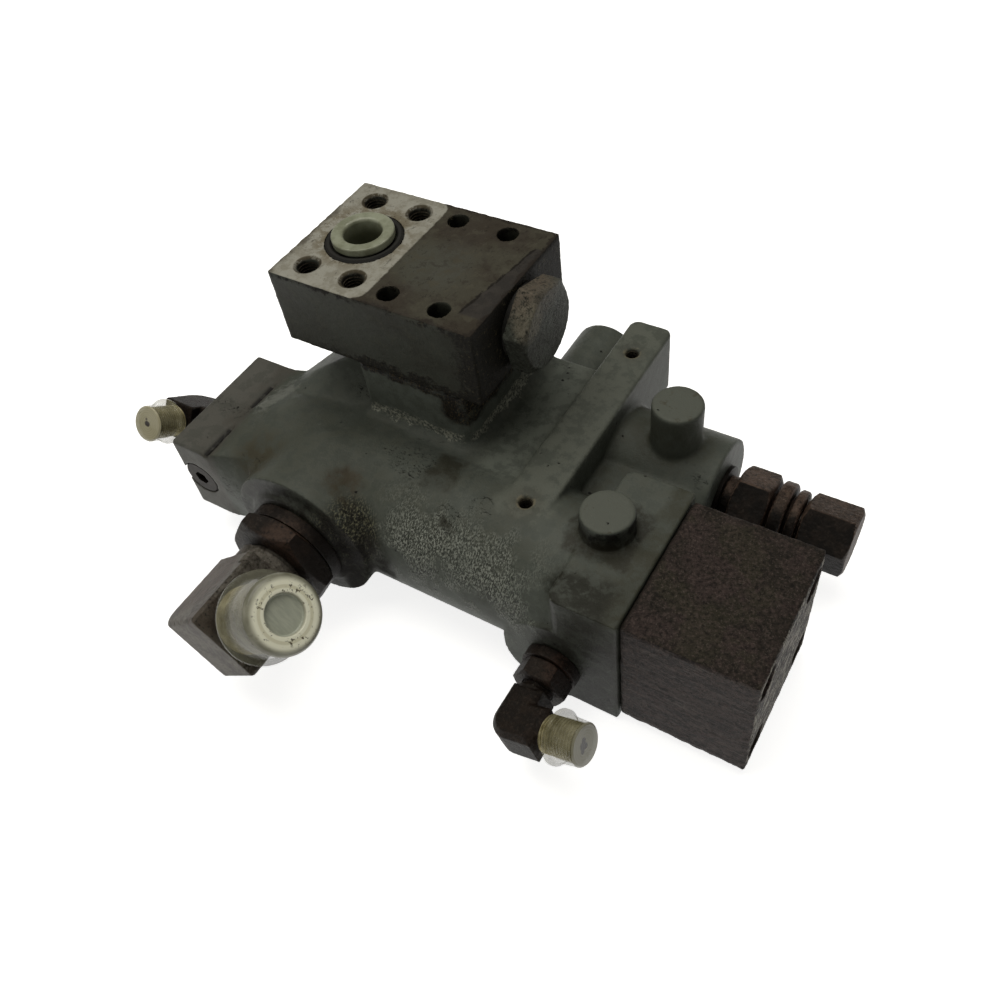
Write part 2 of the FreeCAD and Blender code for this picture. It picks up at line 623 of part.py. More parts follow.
def left_end():
    """Machined end block, and the taper from its rectangle to the round barrel."""
    half_y = LEFT_BLOCK_WIDTH / 2
    top = LEFT_BLOCK_Z + LEFT_BLOCK_HEIGHT / 2
    bottom = LEFT_BLOCK_Z - LEFT_BLOCK_HEIGHT / 2
    block = rounded_box(LEFT_X, LEFT_STEP_X, MAIN_Y - half_y, MAIN_Y + half_y, bottom, top, AXIS_X,
                        LEFT_CORNER_R)
    start = LEFT_STEP_X - LAP / 2
    corners = [V(start, MAIN_Y - half_y, bottom), V(start, MAIN_Y + half_y, bottom)]
    corners += [V(start, MAIN_Y + half_y, top), V(start, MAIN_Y - half_y, top)]
    square = Part.makePolygon(corners + corners[:1])
    centre = V(LEFT_STEP_X + LEFT_TAPER, MAIN_Y, MAIN_Z)
    arcs = []
    for i in range(4):
        turns = [math.radians(-135 + 90 * i + step) for step in (0, 45, 90)]
        points = [centre + V(0, MAIN_R * math.cos(a), MAIN_R * math.sin(a)) for a in turns]
        arcs.append(Part.Arc(*points).toShape())
    taper = Part.makeLoft([square, Part.Wire(arcs)], True, True)
    return block.fuse(taper)


def neck_and_deck():
    """Neck that carries the valve block, run out into the deck with a cast radius. Their backs are flush."""
    front = NECK_SIDE_STEP - BLOCK_WIDTH / 2
    right = NECK_LEFT_X + NECK_LENGTH
    beyond = DECK_BACK_Y + 2 * NECK_FOOT_R
    neck = rounded_box(NECK_LEFT_X, right, front, beyond, DECK_Z - NECK_FOOT_R, NECK_TOP_Z,
                       AXIS_Z, NECK_CORNER_R)
    deck = rounded_box(DECK_LEFT_X, RIB_LEFT_X + RIB_WIDTH / 2, MAIN_Y, beyond + 2 * NECK_FOOT_R, MAIN_Z, DECK_Z,
                       AXIS_Z, DECK_CORNER_R)
    whole = deck.fuse(neck)
    foot = [edge for edge in whole.Edges
            if abs(edge.BoundBox.ZMin - DECK_Z) < 0.01 and abs(edge.BoundBox.ZMax - DECK_Z) < 0.01
            and edge.BoundBox.XMin > NECK_LEFT_X - 0.1 and edge.BoundBox.XMax < right + 0.1
            and edge.BoundBox.YMin > front - 0.1 and edge.BoundBox.YMax < beyond + 0.1]
    whole = whole.makeFillet(NECK_FOOT_R, foot).common(box(LEFT_X, RIGHT_X, MAIN_Y, DECK_BACK_Y, MAIN_Z, 0))
    inset = NECK_SEAM_INSET
    seat = rounded_box(NECK_LEFT_X + inset, right - inset, front + inset, DECK_BACK_Y - inset, DECK_Z, -BLOCK_HEIGHT,
                       AXIS_Z, NECK_CORNER_R - inset)
    return whole.fuse(seat)


def shoulder_section(x, front_z, hollow, wall, back):
    """Section of the shoulder across X. Its arc runs from inside the main barrel up to the wall."""
    points = [V(x, y, z) for y, z in (wall, back, (back[0], MAIN_Z), (MAIN_Y, MAIN_Z), (MAIN_Y, front_z))]
    lines = [Part.makeLine(first, second) for first, second in zip(points, points[1:])]
    arc = Part.Arc(points[-1], V(x, *hollow), points[0]).toShape()
    return Part.Wire(lines + [arc])


def shoulder():
    """Web that falls from the neck to the left end block, hollowed out above the main barrel."""
    low = LEFT_BLOCK_Z + LEFT_BLOCK_HEIGHT / 2 - SHOULDER_STEP
    edge_y = MAIN_Y + LEFT_BLOCK_WIDTH / 2 - LAP / 2
    sag_y = MAIN_Y + SHOULDER_SAG_Y
    left = shoulder_section(LEFT_STEP_X - LAP, low - LAP, (sag_y, low - LAP / 2), (edge_y - SHOULDER_RIDGE / 2, low),
                            (edge_y, low))
    bend = shoulder_section(SHOULDER_X, CROWN_Z - 3 * LAP, (sag_y, CROWN_Z - SHOULDER_SAG),
                            (SHOULDER_BACK_Y - SHOULDER_RIDGE, low + LAP / 2), (SHOULDER_BACK_Y, low))
    right = shoulder_section(NECK_LEFT_X + LAP, CROWN_Z - SHOULDER_ROOT,
                             (SHOULDER_WALL_Y - 1.5 * SHOULDER_RIDGE, DECK_Z + LAP),
                             (SHOULDER_WALL_Y, NECK_TOP_Z), (DECK_BACK_Y, NECK_TOP_Z))
    return Part.makeLoft([left, bend, right], True, True)


def web():
    """Cast web that joins the two barrels below the deck."""
    return box(DECK_LEFT_X + DECK_CORNER_R, RIGHT_X - WEB_END_GAP, MAIN_Y, REAR_Y,
               MAIN_Z - REAR_R * WEB_BOTTOM_SHARE, MAIN_Z + REAR_R * WEB_TOP_SHARE)


def rib():
    """Cross rib with the two threaded holes. It bridges both barrels and ends in a wall behind the rear one."""
    shape = rounded_box(RIB_LEFT_X, RIB_LEFT_X + RIB_WIDTH, RIB_FRONT_Y, RIB_BACK_Y, CROWN_Z - RIB_DEPTH,
                        PAD_Z, AXIS_Z, RIB_CORNER_R)
    upper = [edge for edge in shape.Edges if edge.BoundBox.ZMin > CROWN_Z]
    return shape.makeFillet(RIB_EDGE_R, upper)


def housing():
    main = V(0, MAIN_Y, MAIN_Z)
    outside = V(LEFT_X - BEYOND, MAIN_Y, MAIN_Z)
    bore = [(BORE_LEFT_X, 0), (BORE_LEFT_X, SPOOL_R)]
    chambers = [(HOSE_CHAMBER_LEFT_X, HOSE_CHAMBER_RIGHT_X), (VENT_CHAMBER_LEFT_X, VENT_CHAMBER_RIGHT_X),
                (DRAIN_CHAMBER_LEFT_X, DRAIN_CHAMBER_RIGHT_X)]
    for left, right in chambers:
        bore += [(left, SPOOL_R), (left, CHAMBER_R), (right, CHAMBER_R), (right, SPOOL_R)]
    bore += [(RIGHT_X + BEYOND, SPOOL_R), (RIGHT_X + BEYOND, 0)]
    cuts = [turned(bore, main, AXIS_X)]
    cuts.append(rod(outside, AXIS_X, SMALL_PORT_R, BORE_LEFT_X - LEFT_X + 2 * BEYOND))
    cuts.append(rod(outside, AXIS_X, SMALL_STEM_R + THREAD_GAP, SMALL_STEM_DEPTH + BEYOND))
    cuts.append(rod(V(HOSE_X, MAIN_Y, HOSE_Z), -AXIS_Y, HOSE_PORT_R, MAIN_Y - HOSE_BOSS_Y))
    cuts.append(rod(V(HOSE_X, HOSE_BOSS_Y - BEYOND, HOSE_Z), AXIS_Y, HOSE_STEM_R + THREAD_GAP,
                    HOSE_STEM_DEPTH + BEYOND))
    cuts += neck_passages()
    cuts += pilot_passages()
    cuts += rear_bores()
    front_y = MAIN_Y - LEFT_BLOCK_WIDTH / 2
    cuts.append(rod(V(SOCKET_PLUG_X, front_y - BEYOND, LEFT_BLOCK_Z), AXIS_Y, SOCKET_PLUG_R + THREAD_GAP,
                    SOCKET_PLUG_DEPTH + BEYOND + SEAT_GAP))
    for side in (-0.5, 0.5):
        place = V(PAD_HOLE_X, PAD_HOLE_CENTRE_Y + side * PAD_HOLE_PITCH, PAD_Z)
        cuts.append(tapped(place, -AXIS_Z, PAD_HOLE_R, PAD_HOLE_MOUTH_R, PAD_HOLE_DEPTH))
    for place in block_screw_places():
        seat = V(place.x, place.y, BEYOND - BLOCK_HEIGHT)
        cuts.append(rod(seat, -AXIS_Z, BLOCK_SCREW_R + THREAD_GAP, BLOCK_SCREW_GRIP + 2 * BEYOND))
    for place in cap_screw_places():
        outside = place + AXIS_X * BEYOND
        cuts.append(rod(outside, -AXIS_X, CAP_SCREW_R + THREAD_GAP, CAP_SCREW_GRIP + 2 * BEYOND))
    return casting().cut(cuts)


def neck_passages():
    """Main passage and vent passage from the block down to the spool's chambers, with their seal grooves."""
    seat = V(0, 0, -BLOCK_HEIGHT)
    depth = MAIN_Z - seat.z
    cuts = []
    for x, radius in ((NECK_PASSAGE_X, NECK_PASSAGE_R), (VENT_X, VENT_R)):
        lower = V(x, 0, MAIN_Z)
        cuts.append(rod(V(x, 0, BEYOND + seat.z), -AXIS_Z, radius, BEYOND - depth))
        cuts.append(rod(lower, -AXIS_Y, radius, -MAIN_Y))
        cuts.append(Part.makeSphere(radius, lower))
        section = seal_section(radius)
        cuts.append(face_groove(V(x, 0, seat.z - section), AXIS_Z, radius, section))
    return cuts


def seal_section(passage_r):
    """Seals get thicker with the passage that they surround."""
    return FACE_SEAL_SECTION + FACE_SEAL_SHARE * passage_r


def pilot_passages():
    """Pilot port, and the drilling from it to the joint with the pilot cap."""
    port = V(PILOT_X, BOX_FRONT_Y - BEYOND, PILOT_Z)
    corner = V(PILOT_X, PILOT_PASSAGE_Y, PILOT_Z)
    cuts = [rod(port, AXIS_Y, SMALL_STEM_R + THREAD_GAP, SMALL_STEM_DEPTH + BEYOND)]
    cuts.append(rod(port, AXIS_Y, SMALL_PORT_R, PILOT_PASSAGE_Y - port.y))
    cuts.append(Part.makeSphere(SMALL_PORT_R, corner))
    cuts.append(rod(corner, AXIS_X, PILOT_PASSAGE_R, RIGHT_X - PILOT_X + BEYOND))
    return cuts


def rear_bores():
    """Relief bore, the cross drilling that feeds it, and its way to the drain chamber."""
    end = RIGHT_X + BEYOND
    cuts = [rod(V(end, REAR_Y, REAR_Z), -AXIS_X, RELIEF_BORE_R, end - RELIEF_BORE_LEFT_X)]
    cuts.append(rod(V(CROSS_X, REAR_Y, REAR_Z), AXIS_X, CROSS_R, RELIEF_BORE_LEFT_X - CROSS_X + BEYOND))
    cuts.append(rod(V(CROSS_X, MAIN_Y, CROSS_Z), AXIS_Y, CROSS_R, CROSS_BOSS_Y - MAIN_Y))
    cuts.append(rod(V(CROSS_X, CROSS_BOSS_Y + BEYOND, CROSS_Z), -AXIS_Y, CROSS_PLUG_R + THREAD_GAP,
                    CROSS_PLUG_DEPTH + BEYOND + SEAT_GAP))
    drain_x = (DRAIN_CHAMBER_LEFT_X + DRAIN_CHAMBER_RIGHT_X) / 2
    cuts.append(rod(V(drain_x, MAIN_Y, MAIN_Z), AXIS_Y, CROSS_R, REAR_Y - MAIN_Y))
    return cuts


def block_seals():
    rings = []
    for x, radius in ((NECK_PASSAGE_X, NECK_PASSAGE_R), (VENT_X, VENT_R)):
        section = seal_section(radius)
        rings.append(face_seal(V(x, 0, -BLOCK_HEIGHT - section + SEAT_GAP / 4), AXIS_Z, radius, section))
    return Part.makeCompound(rings)


def port_seal():
    """Seal ring of the flange port, lying in its groove."""
    outer = PORT_GROOVE_R - SEAT_GAP / 2
    inner = outer - PORT_SEAL_SECTION
    height = PORT_SEAL_SECTION
    edge = height * SEAL_CORNER_SHARE
    outline = [(0, inner + edge), (0, outer - edge), (edge, outer), (height - edge, outer)]
    outline += [(height, outer - edge), (height, inner + edge), (height - edge, inner), (edge, inner)]
    return turned(outline, V(0, 0, -PORT_GROOVE_DEPTH), AXIS_Z)


def port_plug():
    """Hollow push-in plug. Its rim rests on the lip round the port."""
    rim_z = SEAT_GAP
    top = rim_z + PORT_PLUG_RIM
    bottom = rim_z - PORT_PLUG_SHANK
    shank_r = PORT_R - SEAT_GAP
    inner = shank_r - PORT_PLUG_WALL
    edge = PORT_PLUG_EDGE
    floor = bottom + PORT_PLUG_FLOOR
    outline = [(bottom, 0), (bottom, shank_r - edge), (bottom + PORT_PLUG_LEAD, shank_r), (rim_z, shank_r)]
    outline += [(rim_z, PORT_PLUG_RIM_R), (top - edge, PORT_PLUG_RIM_R), (top, PORT_PLUG_RIM_R - edge)]
    outline += [(top, inner + edge), (top - edge, inner), (floor, inner), (floor, 0)]
    return turned(outline, ORIGIN, AXIS_Z)


def poppet():
    """Load-holding poppet: a cone that closes the seat, and a skirt that guides it and holds its spring."""
    radius = POPPET_R - RUN_FIT
    tip = POPPET_SEAT_X - POPPET_TIP
    cone_r = POPPET_SEAT_R - SEAT_GAP - POPPET_TIP
    skirt = POPPET_SEAT_X + radius - POPPET_SEAT_R + SEAT_GAP
    back = PLUG_INNER_X - POPPET_STROKE - POPPET_END_GAP
    inner = POPPET_R - POPPET_WALL
    floor = POPPET_SEAT_X + POPPET_FLOOR
    outline = [(tip, POPPET_ORIFICE_R), (tip, cone_r), (skirt, radius), (back, radius), (back, inner)]
    outline += [(floor, inner), (floor, POPPET_ORIFICE_R)]
    return turned(outline, V(0, 0, POPPET_Z), AXIS_X)


def poppet_spring():
    inner = POPPET_R - POPPET_WALL
    start = POPPET_SEAT_X + POPPET_FLOOR + SEAT_GAP
    end = PLUG_INNER_X + plug_pocket() - SEAT_GAP
    mean = inner - SPRING_SIDE_GAP - POPPET_SPRING_WIRE / 2
    return coil(V(start, 0, POPPET_Z), AXIS_X, mean, POPPET_SPRING_WIRE, end - start, 6)


def plug_pocket():
    return PLUG_SHANK * PLUG_POCKET_SHARE


def hex_plug():
    """Large screw plug with a pocket for the poppet's spring."""
    axis = V(0, 0, POPPET_Z)
    shank_r = PLUG_THREAD_R - THREAD_GAP
    pocket_r = POPPET_R - POPPET_WALL
    start = PLUG_INNER_X + SEAT_GAP
    seat = BLOCK_RIGHT_X + PLUG_SEAL_THICK
    outline = [(start, pocket_r), (start, shank_r - PLUG_LEAD), (start + PLUG_LEAD, shank_r)]
    outline += [(seat, shank_r), (seat, 0)]
    outline += [(PLUG_INNER_X + plug_pocket(), 0), (PLUG_INNER_X + plug_pocket(), pocket_r)]
    shank = turned(outline, axis, AXIS_X)
    head = hexagon(V(seat, 0, POPPET_Z), AXIS_X, PLUG_HEX, PLUG_HEX_LENGTH, PLUG_TURN, both_ends=False)
    return joined([shank, head])


def hex_plug_seal():
    inner = PLUG_THREAD_R
    return ring(V(BLOCK_RIGHT_X, 0, POPPET_Z), AXIS_X, inner, inner + PLUG_SEAL_WALL, PLUG_SEAL_THICK)


def control_spool():
    """Spool with four lands. A drilling on its axis leads the relief oil to the spring chamber."""
    land = SPOOL_R - RUN_FIT
    edges = [(SPOOL_LEFT_X, HOSE_CHAMBER_LEFT_X - LAND_COVER),
             (HOSE_CHAMBER_RIGHT_X + WAIST_LEAD, VENT_CHAMBER_LEFT_X + LAND_COVER),
             (VENT_CHAMBER_RIGHT_X + WAIST_LEAD + SPOOL_STROKE, DRAIN_CHAMBER_LEFT_X - LAND_COVER / 2),
             (DRAIN_CHAMBER_RIGHT_X + LAND_COVER + SPOOL_STROKE, SPOOL_RIGHT_X)]
    drain_end = (DRAIN_CHAMBER_LEFT_X + DRAIN_CHAMBER_RIGHT_X) / 2 + SPOOL_DRAIN_R
    outline = [(SPOOL_LEFT_X - SPOOL_STEM, SPOOL_DRAIN_R), (SPOOL_LEFT_X - SPOOL_STEM, SPOOL_STEM_R)]
    outline.append((SPOOL_LEFT_X, SPOOL_STEM_R))
    for index, (left, right) in enumerate(edges):
        if index:
            outline.append((left, SPOOL_WAIST_R))
        outline += [(left, land), (right, land)]
        if index < len(edges) - 1:
            outline.append((right, SPOOL_WAIST_R))
    outline += [(SPOOL_RIGHT_X, 0), (drain_end, 0), (drain_end, SPOOL_DRAIN_R)]
    spool = turned(outline, V(0, MAIN_Y, MAIN_Z), AXIS_X)
    cuts = []
    notch_left = HOSE_CHAMBER_RIGHT_X + SPOOL_STROKE - WAIST_LEAD
    notch_right = VENT_CHAMBER_LEFT_X + LAND_COVER
    for turn in range(4):
        notch = box(notch_left, notch_right, MAIN_Y - NOTCH_WIDTH / 2, MAIN_Y + NOTCH_WIDTH / 2,
                    MAIN_Z + land - NOTCH_DEPTH, MAIN_Z + land + BEYOND)
        notch.rotate(V(0, MAIN_Y, MAIN_Z), AXIS_X, 45 + 90 * turn)
        cuts.append(notch)
    cross_x = drain_end - SPOOL_DRAIN_R
    cuts.append(rod(V(cross_x, MAIN_Y, MAIN_Z - SPOOL_R), AXIS_Z, SPOOL_CROSS_R, 2 * SPOOL_R))
    return spool.cut(cuts)


def spring_seat():
    """Washer on the spool's stem that carries the spring."""
    start = V(SPOOL_LEFT_X - SPRING_SEAT_THICK, MAIN_Y, MAIN_Z)
    return ring(start, AXIS_X, SPOOL_STEM_R + RUN_FIT, SPOOL_R - SPRING_SEAT_GAP, SPRING_SEAT_THICK)


def spool_spring():
    start = BORE_LEFT_X + SEAT_GAP
    end = SPOOL_LEFT_X - SPRING_SEAT_THICK - SEAT_GAP
    mean = (SPOOL_STEM_R + SPOOL_R) / 2 + SPRING_BIAS
    return coil(V(start, MAIN_Y, MAIN_Z), AXIS_X, mean, SPOOL_SPRING_WIRE, end - start, 4)


def pilot_cap():
    """Square end block with the pilot piston's bore and four sunk screws."""
    body = box(RIGHT_X, RIGHT_X + CAP_LENGTH, CAP_FRONT_Y, CAP_FRONT_Y + CAP_WIDTH,
               BOX_TOP_Z - CAP_HEIGHT, BOX_TOP_Z)
    body = body.makeChamfer(CAP_EDGE, body.Edges)
    axis = V(RIGHT_X, MAIN_Y, MAIN_Z)
    bore = [(-BEYOND, 0), (-BEYOND, CAP_BORE_R), (CAP_BORE_DEPTH, CAP_BORE_R)]
    bore.append((CAP_BORE_DEPTH + CAP_BORE_POINT, 0))
    cuts = [turned(bore, axis, AXIS_X)]
    cuts.append(face_groove(axis, AXIS_X, SPOOL_R, CAP_SEAL_SECTION))
    passage_start = V(RIGHT_X, PILOT_PASSAGE_Y, PILOT_Z)
    passage_end = V(RIGHT_X + CAP_BORE_DEPTH, MAIN_Y, MAIN_Z)
    way = passage_end - passage_start
    back = way * (BEYOND / way.x)
    cuts.append(rod(passage_start - back, way, PILOT_PASSAGE_R, way.Length + back.Length))
    for place in cap_screw_places():
        outside = place + AXIS_X * (CAP_LENGTH + BEYOND)
        cuts.append(rod(outside, -AXIS_X, CAP_SCREW_R + HEAD_GAP, CAP_LENGTH + 2 * BEYOND))
        sunk = CAP_SCREW_SUNK + CAP_SCREW_HEAD + BEYOND
        cuts.append(rod(outside, -AXIS_X, CAP_SCREW_HEAD_R + HEAD_GAP, sunk))
    return body.cut(cuts)


def pilot_cap_screws():
    top = AXIS_X * (CAP_LENGTH - CAP_SCREW_SUNK)
    length = CAP_LENGTH - CAP_SCREW_SUNK - CAP_SCREW_HEAD + CAP_SCREW_GRIP
    return Part.makeCompound([socket_screw(place + top, -AXIS_X, CAP_SCREW_R, CAP_SCREW_HEAD_R, CAP_SCREW_HEAD,
                                           length, CAP_SOCKET)
                              for place in cap_screw_places()])


def pilot_cap_seal():
    return face_seal(V(RIGHT_X + SEAT_GAP / 4, MAIN_Y, MAIN_Z), AXIS_X, SPOOL_R, CAP_SEAL_SECTION)


def pilot_piston():
    """Piston that pushes the spool. Its nose reaches out of the cap's bore to the spool's end."""
    nose = SPOOL_RIGHT_X + SEAT_GAP
    shoulder = nose + PISTON_NOSE
    end = shoulder + PISTON_LENGTH
    radius = CAP_BORE_R - RUN_FIT
    groove = shoulder + (PISTON_LENGTH - PISTON_GROOVE) / 2
    depth = radius - PISTON_SEAL_DEPTH
    outline = [(nose, 0), (nose, PISTON_NOSE_R), (shoulder, PISTON_NOSE_R), (shoulder, radius)]
    outline += [(groove, radius), (groove, depth), (groove + PISTON_GROOVE, depth), (groove + PISTON_GROOVE, radius)]
    outline += [(end - PISTON_EDGE, radius), (end, radius - PISTON_EDGE), (end, 0)]
    return turned(outline, V(0, MAIN_Y, MAIN_Z), AXIS_X)


def piston_seal():
    """Seal ring in the piston's groove."""
    shoulder = SPOOL_RIGHT_X + SEAT_GAP + PISTON_NOSE
    groove = shoulder + (PISTON_LENGTH - PISTON_GROOVE) / 2
    radius = CAP_BORE_R - RUN_FIT
    start = V(groove + SEAT_GAP / 2, MAIN_Y, MAIN_Z)
    return ring(start, AXIS_X, radius - PISTON_SEAL_DEPTH + SEAL_GAP, radius, PISTON_GROOVE - SEAT_GAP)


def socket_plug(face, direction, radius, depth, key):
    """Headless screw plug with a hexagon socket. The direction points into the metal."""
    sunk, edge = SOCKET_PLUG_SUNK, SOCKET_PLUG_EDGE
    outline = [(sunk, 0), (sunk, radius - edge), (sunk + edge, radius), (depth - edge, radius)]
    outline += [(depth, radius - edge), (depth, 0)]
    start = face + direction * sunk
    hollow = prism(start, direction, key, depth * SOCKET_PLUG_HOLLOW, SOCKET_PLUG_TURN)
    return turned(outline, face, direction).cut(hollow)


def gallery_plug():
    face = V(SOCKET_PLUG_X, MAIN_Y - LEFT_BLOCK_WIDTH / 2, LEFT_BLOCK_Z)
    return socket_plug(face, AXIS_Y, SOCKET_PLUG_R, SOCKET_PLUG_DEPTH, SOCKET_PLUG_KEY)


def cross_plug():
    face = V(CROSS_X, CROSS_BOSS_Y, CROSS_Z)
    return socket_plug(face, -AXIS_Y, CROSS_PLUG_R, CROSS_PLUG_DEPTH, CROSS_PLUG_KEY)


class ElbowKind:
    """One size of forged elbow: its body, threads, lock nut and protective cap."""

    def __init__(self, half, front, out, heel, rim, thread_r, thread, stem_r, depth, bore_r, flats, collar_r,
                 ring_r, cap_start, cap_wall, cap_taper, cap_end, cap_edge, recess_r=0.0, recess=0.0):
        self.half, self.front, self.out, self.heel, self.rim = half, front, out, heel, rim
        self.thread_r, self.thread = thread_r, thread
        self.stem_r, self.depth, self.bore_r = stem_r, depth, bore_r
        self.flats, self.collar_r = flats, collar_r
        self.ring_r, self.cap_start, self.cap_wall = ring_r, cap_start, cap_wall
        self.cap_taper, self.cap_end, self.cap_edge = cap_taper, cap_end, cap_edge
        self.recess_r, self.recess = recess_r, recess


LARGE = ElbowKind(HOSE_BODY, HOSE_BODY_FRONT, HOSE_BODY_OUT, HOSE_HEEL_R, HOSE_RIM, HOSE_THREAD_R, HOSE_THREAD,
                  HOSE_STEM_R, HOSE_STEM_DEPTH, HOSE_PORT_R, HOSE_NUT_FLATS, HOSE_COLLAR_R, HOSE_CAP_RING_R,
                  HOSE_CAP_START, HOSE_CAP_WALL, HOSE_CAP_TAPER, HOSE_CAP_END, HOSE_CAP_EDGE, HOSE_CAP_RECESS_R,
                  HOSE_CAP_RECESS)


def small_kind(half, front, rim):
    """The small elbow's size with a body of its own."""
    return ElbowKind(half, front, SMALL_BODY_OUT, SMALL_HEEL_R, rim, SMALL_THREAD_R, SMALL_THREAD, SMALL_STEM_R,
                     SMALL_STEM_DEPTH, SMALL_PORT_R, SMALL_NUT_FLATS, SMALL_COLLAR_R, SMALL_CAP_RING_R,
                     SMALL_CAP_START, SMALL_CAP_WALL, SMALL_CAP_TAPER, SMALL_CAP_END, SMALL_CAP_EDGE)


class Elbow:
    """An elbow in its port. The inward direction points from the elbow's centre into the casting."""

    def __init__(self, kind, face, inward, reach, outlet, back, nut_height, collar_height):
        self.kind, self.face, self.inward, self.reach, self.outlet = kind, face, inward, reach, outlet
        self.back, self.nut_height, self.collar_height = back, nut_height, collar_height
        self.centre = face - inward * reach

    def body(self):
        k = self.kind
        side = self.outlet.cross(self.inward)
        corners = [(-k.half, -k.front), (k.out, -k.front), (k.out, k.half), (k.half, k.half)]
        corners += [(k.half, self.back), (-k.half, self.back)]
        points = [self.centre + self.outlet * a + self.inward * b - side * k.half for a, b in corners]
        block = Part.Face(Part.makePolygon(points + points[:1])).extrude(side * (2 * k.half))
        corner = self.centre - self.outlet * k.half - self.inward * k.front
        heel = [edge for edge in edges_along(block, side) if edge.distToShape(Part.Vertex(corner))[0] < 0.1]
        block = block.makeFillet(k.heel, heel)
        rims = [edge for face in block.Faces if abs(abs(face.normalAt(0, 0).dot(side)) - 1) < 1e-6
                for edge in face.Edges]
        block = block.makeChamfer(k.rim, rims)
        end = k.out + k.thread
        edge = k.thread_r * SCREW_EDGE_SHARE
        root_r = k.thread_r - THREAD_RELIEF_DEPTH
        stub = [(0, 0), (0, root_r), (k.out + THREAD_RELIEF, root_r), (k.out + THREAD_RELIEF, k.thread_r)]
        stub += [(end - edge, k.thread_r), (end, k.thread_r - edge), (end, 0)]
        neck_end = self.reach - self.collar_height - self.nut_height - NECK_GAP
        stem_end = self.reach + k.depth - STEM_END_GAP
        stem = [(0, 0), (0, k.half * NECK_SHARE), (neck_end, k.half * NECK_SHARE), (neck_end, k.stem_r)]
        stem += [(stem_end, k.stem_r), (stem_end, 0)]
        solid = joined([block, turned(stub, self.centre, self.outlet), turned(stem, self.centre, self.inward)])
        mouth = end - k.thread_r * MOUTH_DEPTH_SHARE
        way_out = [(0, 0), (0, k.bore_r), (mouth, k.bore_r), (end + BEYOND, k.thread_r * MOUTH_SHARE)]
        way_out.append((end + BEYOND, 0))
        cuts = [turned(way_out, self.centre, self.outlet), Part.makeSphere(k.bore_r, self.centre)]
        cuts.append(rod(self.centre, self.inward, k.bore_r - STEM_WALL, self.reach + k.depth))
        return solid.cut(cuts)

    def nut(self):
        k = self.kind
        start = self.face - self.inward * (self.collar_height + self.nut_height)
        blank = hexagon(start, self.inward, k.flats, self.nut_height)
        return blank.cut(rod(start, self.inward, k.stem_r + THREAD_GAP, self.nut_height))

    def collar(self):
        """Retaining collar that holds the seal against the casting."""
        k = self.kind
        start = self.face - self.inward * self.collar_height
        return ring(start, self.inward, k.stem_r + THREAD_GAP, k.collar_r, self.collar_height)

    def cap(self):
        """Protective cap. A recess in its end reaches as a hollow plug into the elbow's bore."""
        k = self.kind
        inner = k.thread_r + CAP_SIDE_GAP
        outer = inner + k.cap_wall
        end_r = outer - k.cap_taper
        floor = k.out + k.thread + SEAT_GAP
        ring_end = k.cap_start + CAP_RING_THICK
        outline = [(k.cap_start, inner), (k.cap_start, k.ring_r), (ring_end, k.ring_r), (ring_end, outer)]
        outline += [(k.cap_end - k.cap_edge, end_r), (k.cap_end, end_r - k.cap_edge)]
        if k.recess:
            recess = k.cap_end - k.recess
            plug = recess - k.cap_wall
            well = k.bore_r - SEAT_GAP
            outline += [(k.cap_end, k.recess_r), (recess, k.recess_r), (recess, 0), (plug, 0), (plug, well)]
            outline.append((floor, well))
        else:
            outline += [(k.cap_end, 0), (floor, 0)]
        outline.append((floor, inner))
        return turned(outline, self.centre, self.outlet)


def degrees_vector(first, second, angle):
    """Unit vector between two unit vectors, turned by an angle from the first towards the second."""
    return first * math.cos(math.radians(angle)) + second * math.sin(math.radians(angle))


HOSE = Elbow(LARGE, V(HOSE_X, HOSE_BOSS_Y, HOSE_Z), AXIS_Y, HOSE_BOSS_Y - HOSE_ELBOW_Y,
             degrees_vector(AXIS_X, AXIS_Z, HOSE_OUTLET_ANGLE), HOSE_BODY_BACK, HOSE_NUT, HOSE_COLLAR)
PILOT = Elbow(small_kind(PILOT_BODY, PILOT_BODY_FRONT, PILOT_RIM),
              V(PILOT_X, BOX_FRONT_Y, PILOT_Z), AXIS_Y, PILOT_REACH,
              degrees_vector(AXIS_X, AXIS_Z, PILOT_OUTLET_ANGLE), PILOT_BODY_BACK, PILOT_NUT, PILOT_COLLAR)
DRAIN = Elbow(small_kind(DRAIN_BODY, DRAIN_BODY_FRONT, DRAIN_RIM),
              V(LEFT_X, MAIN_Y, MAIN_Z), AXIS_X, DRAIN_REACH,
              degrees_vector(-AXIS_Y, AXIS_Z, DRAIN_OUTLET_ANGLE), DRAIN_BODY_BACK, DRAIN_NUT, DRAIN_COLLAR)


def relief_stations():
    """Distances along the relief valve's axis, from the casting's face outwards."""
    hex_start = RIGHT_X + BONDED_WASHER + RELIEF_THROAT
    hex_end = hex_start + RELIEF_HEX_LENGTH
    nut_start = hex_end + RELIEF_GROOVE
    nut_end = nut_start + RELIEF_NUT
    ring_start = nut_end + RELIEF_GROOVE
    ring_end = ring_start + RELIEF_RING
    cap_start = ring_end + RELIEF_GROOVE
    return hex_start, hex_end, nut_start, nut_end, ring_start, ring_end, cap_start


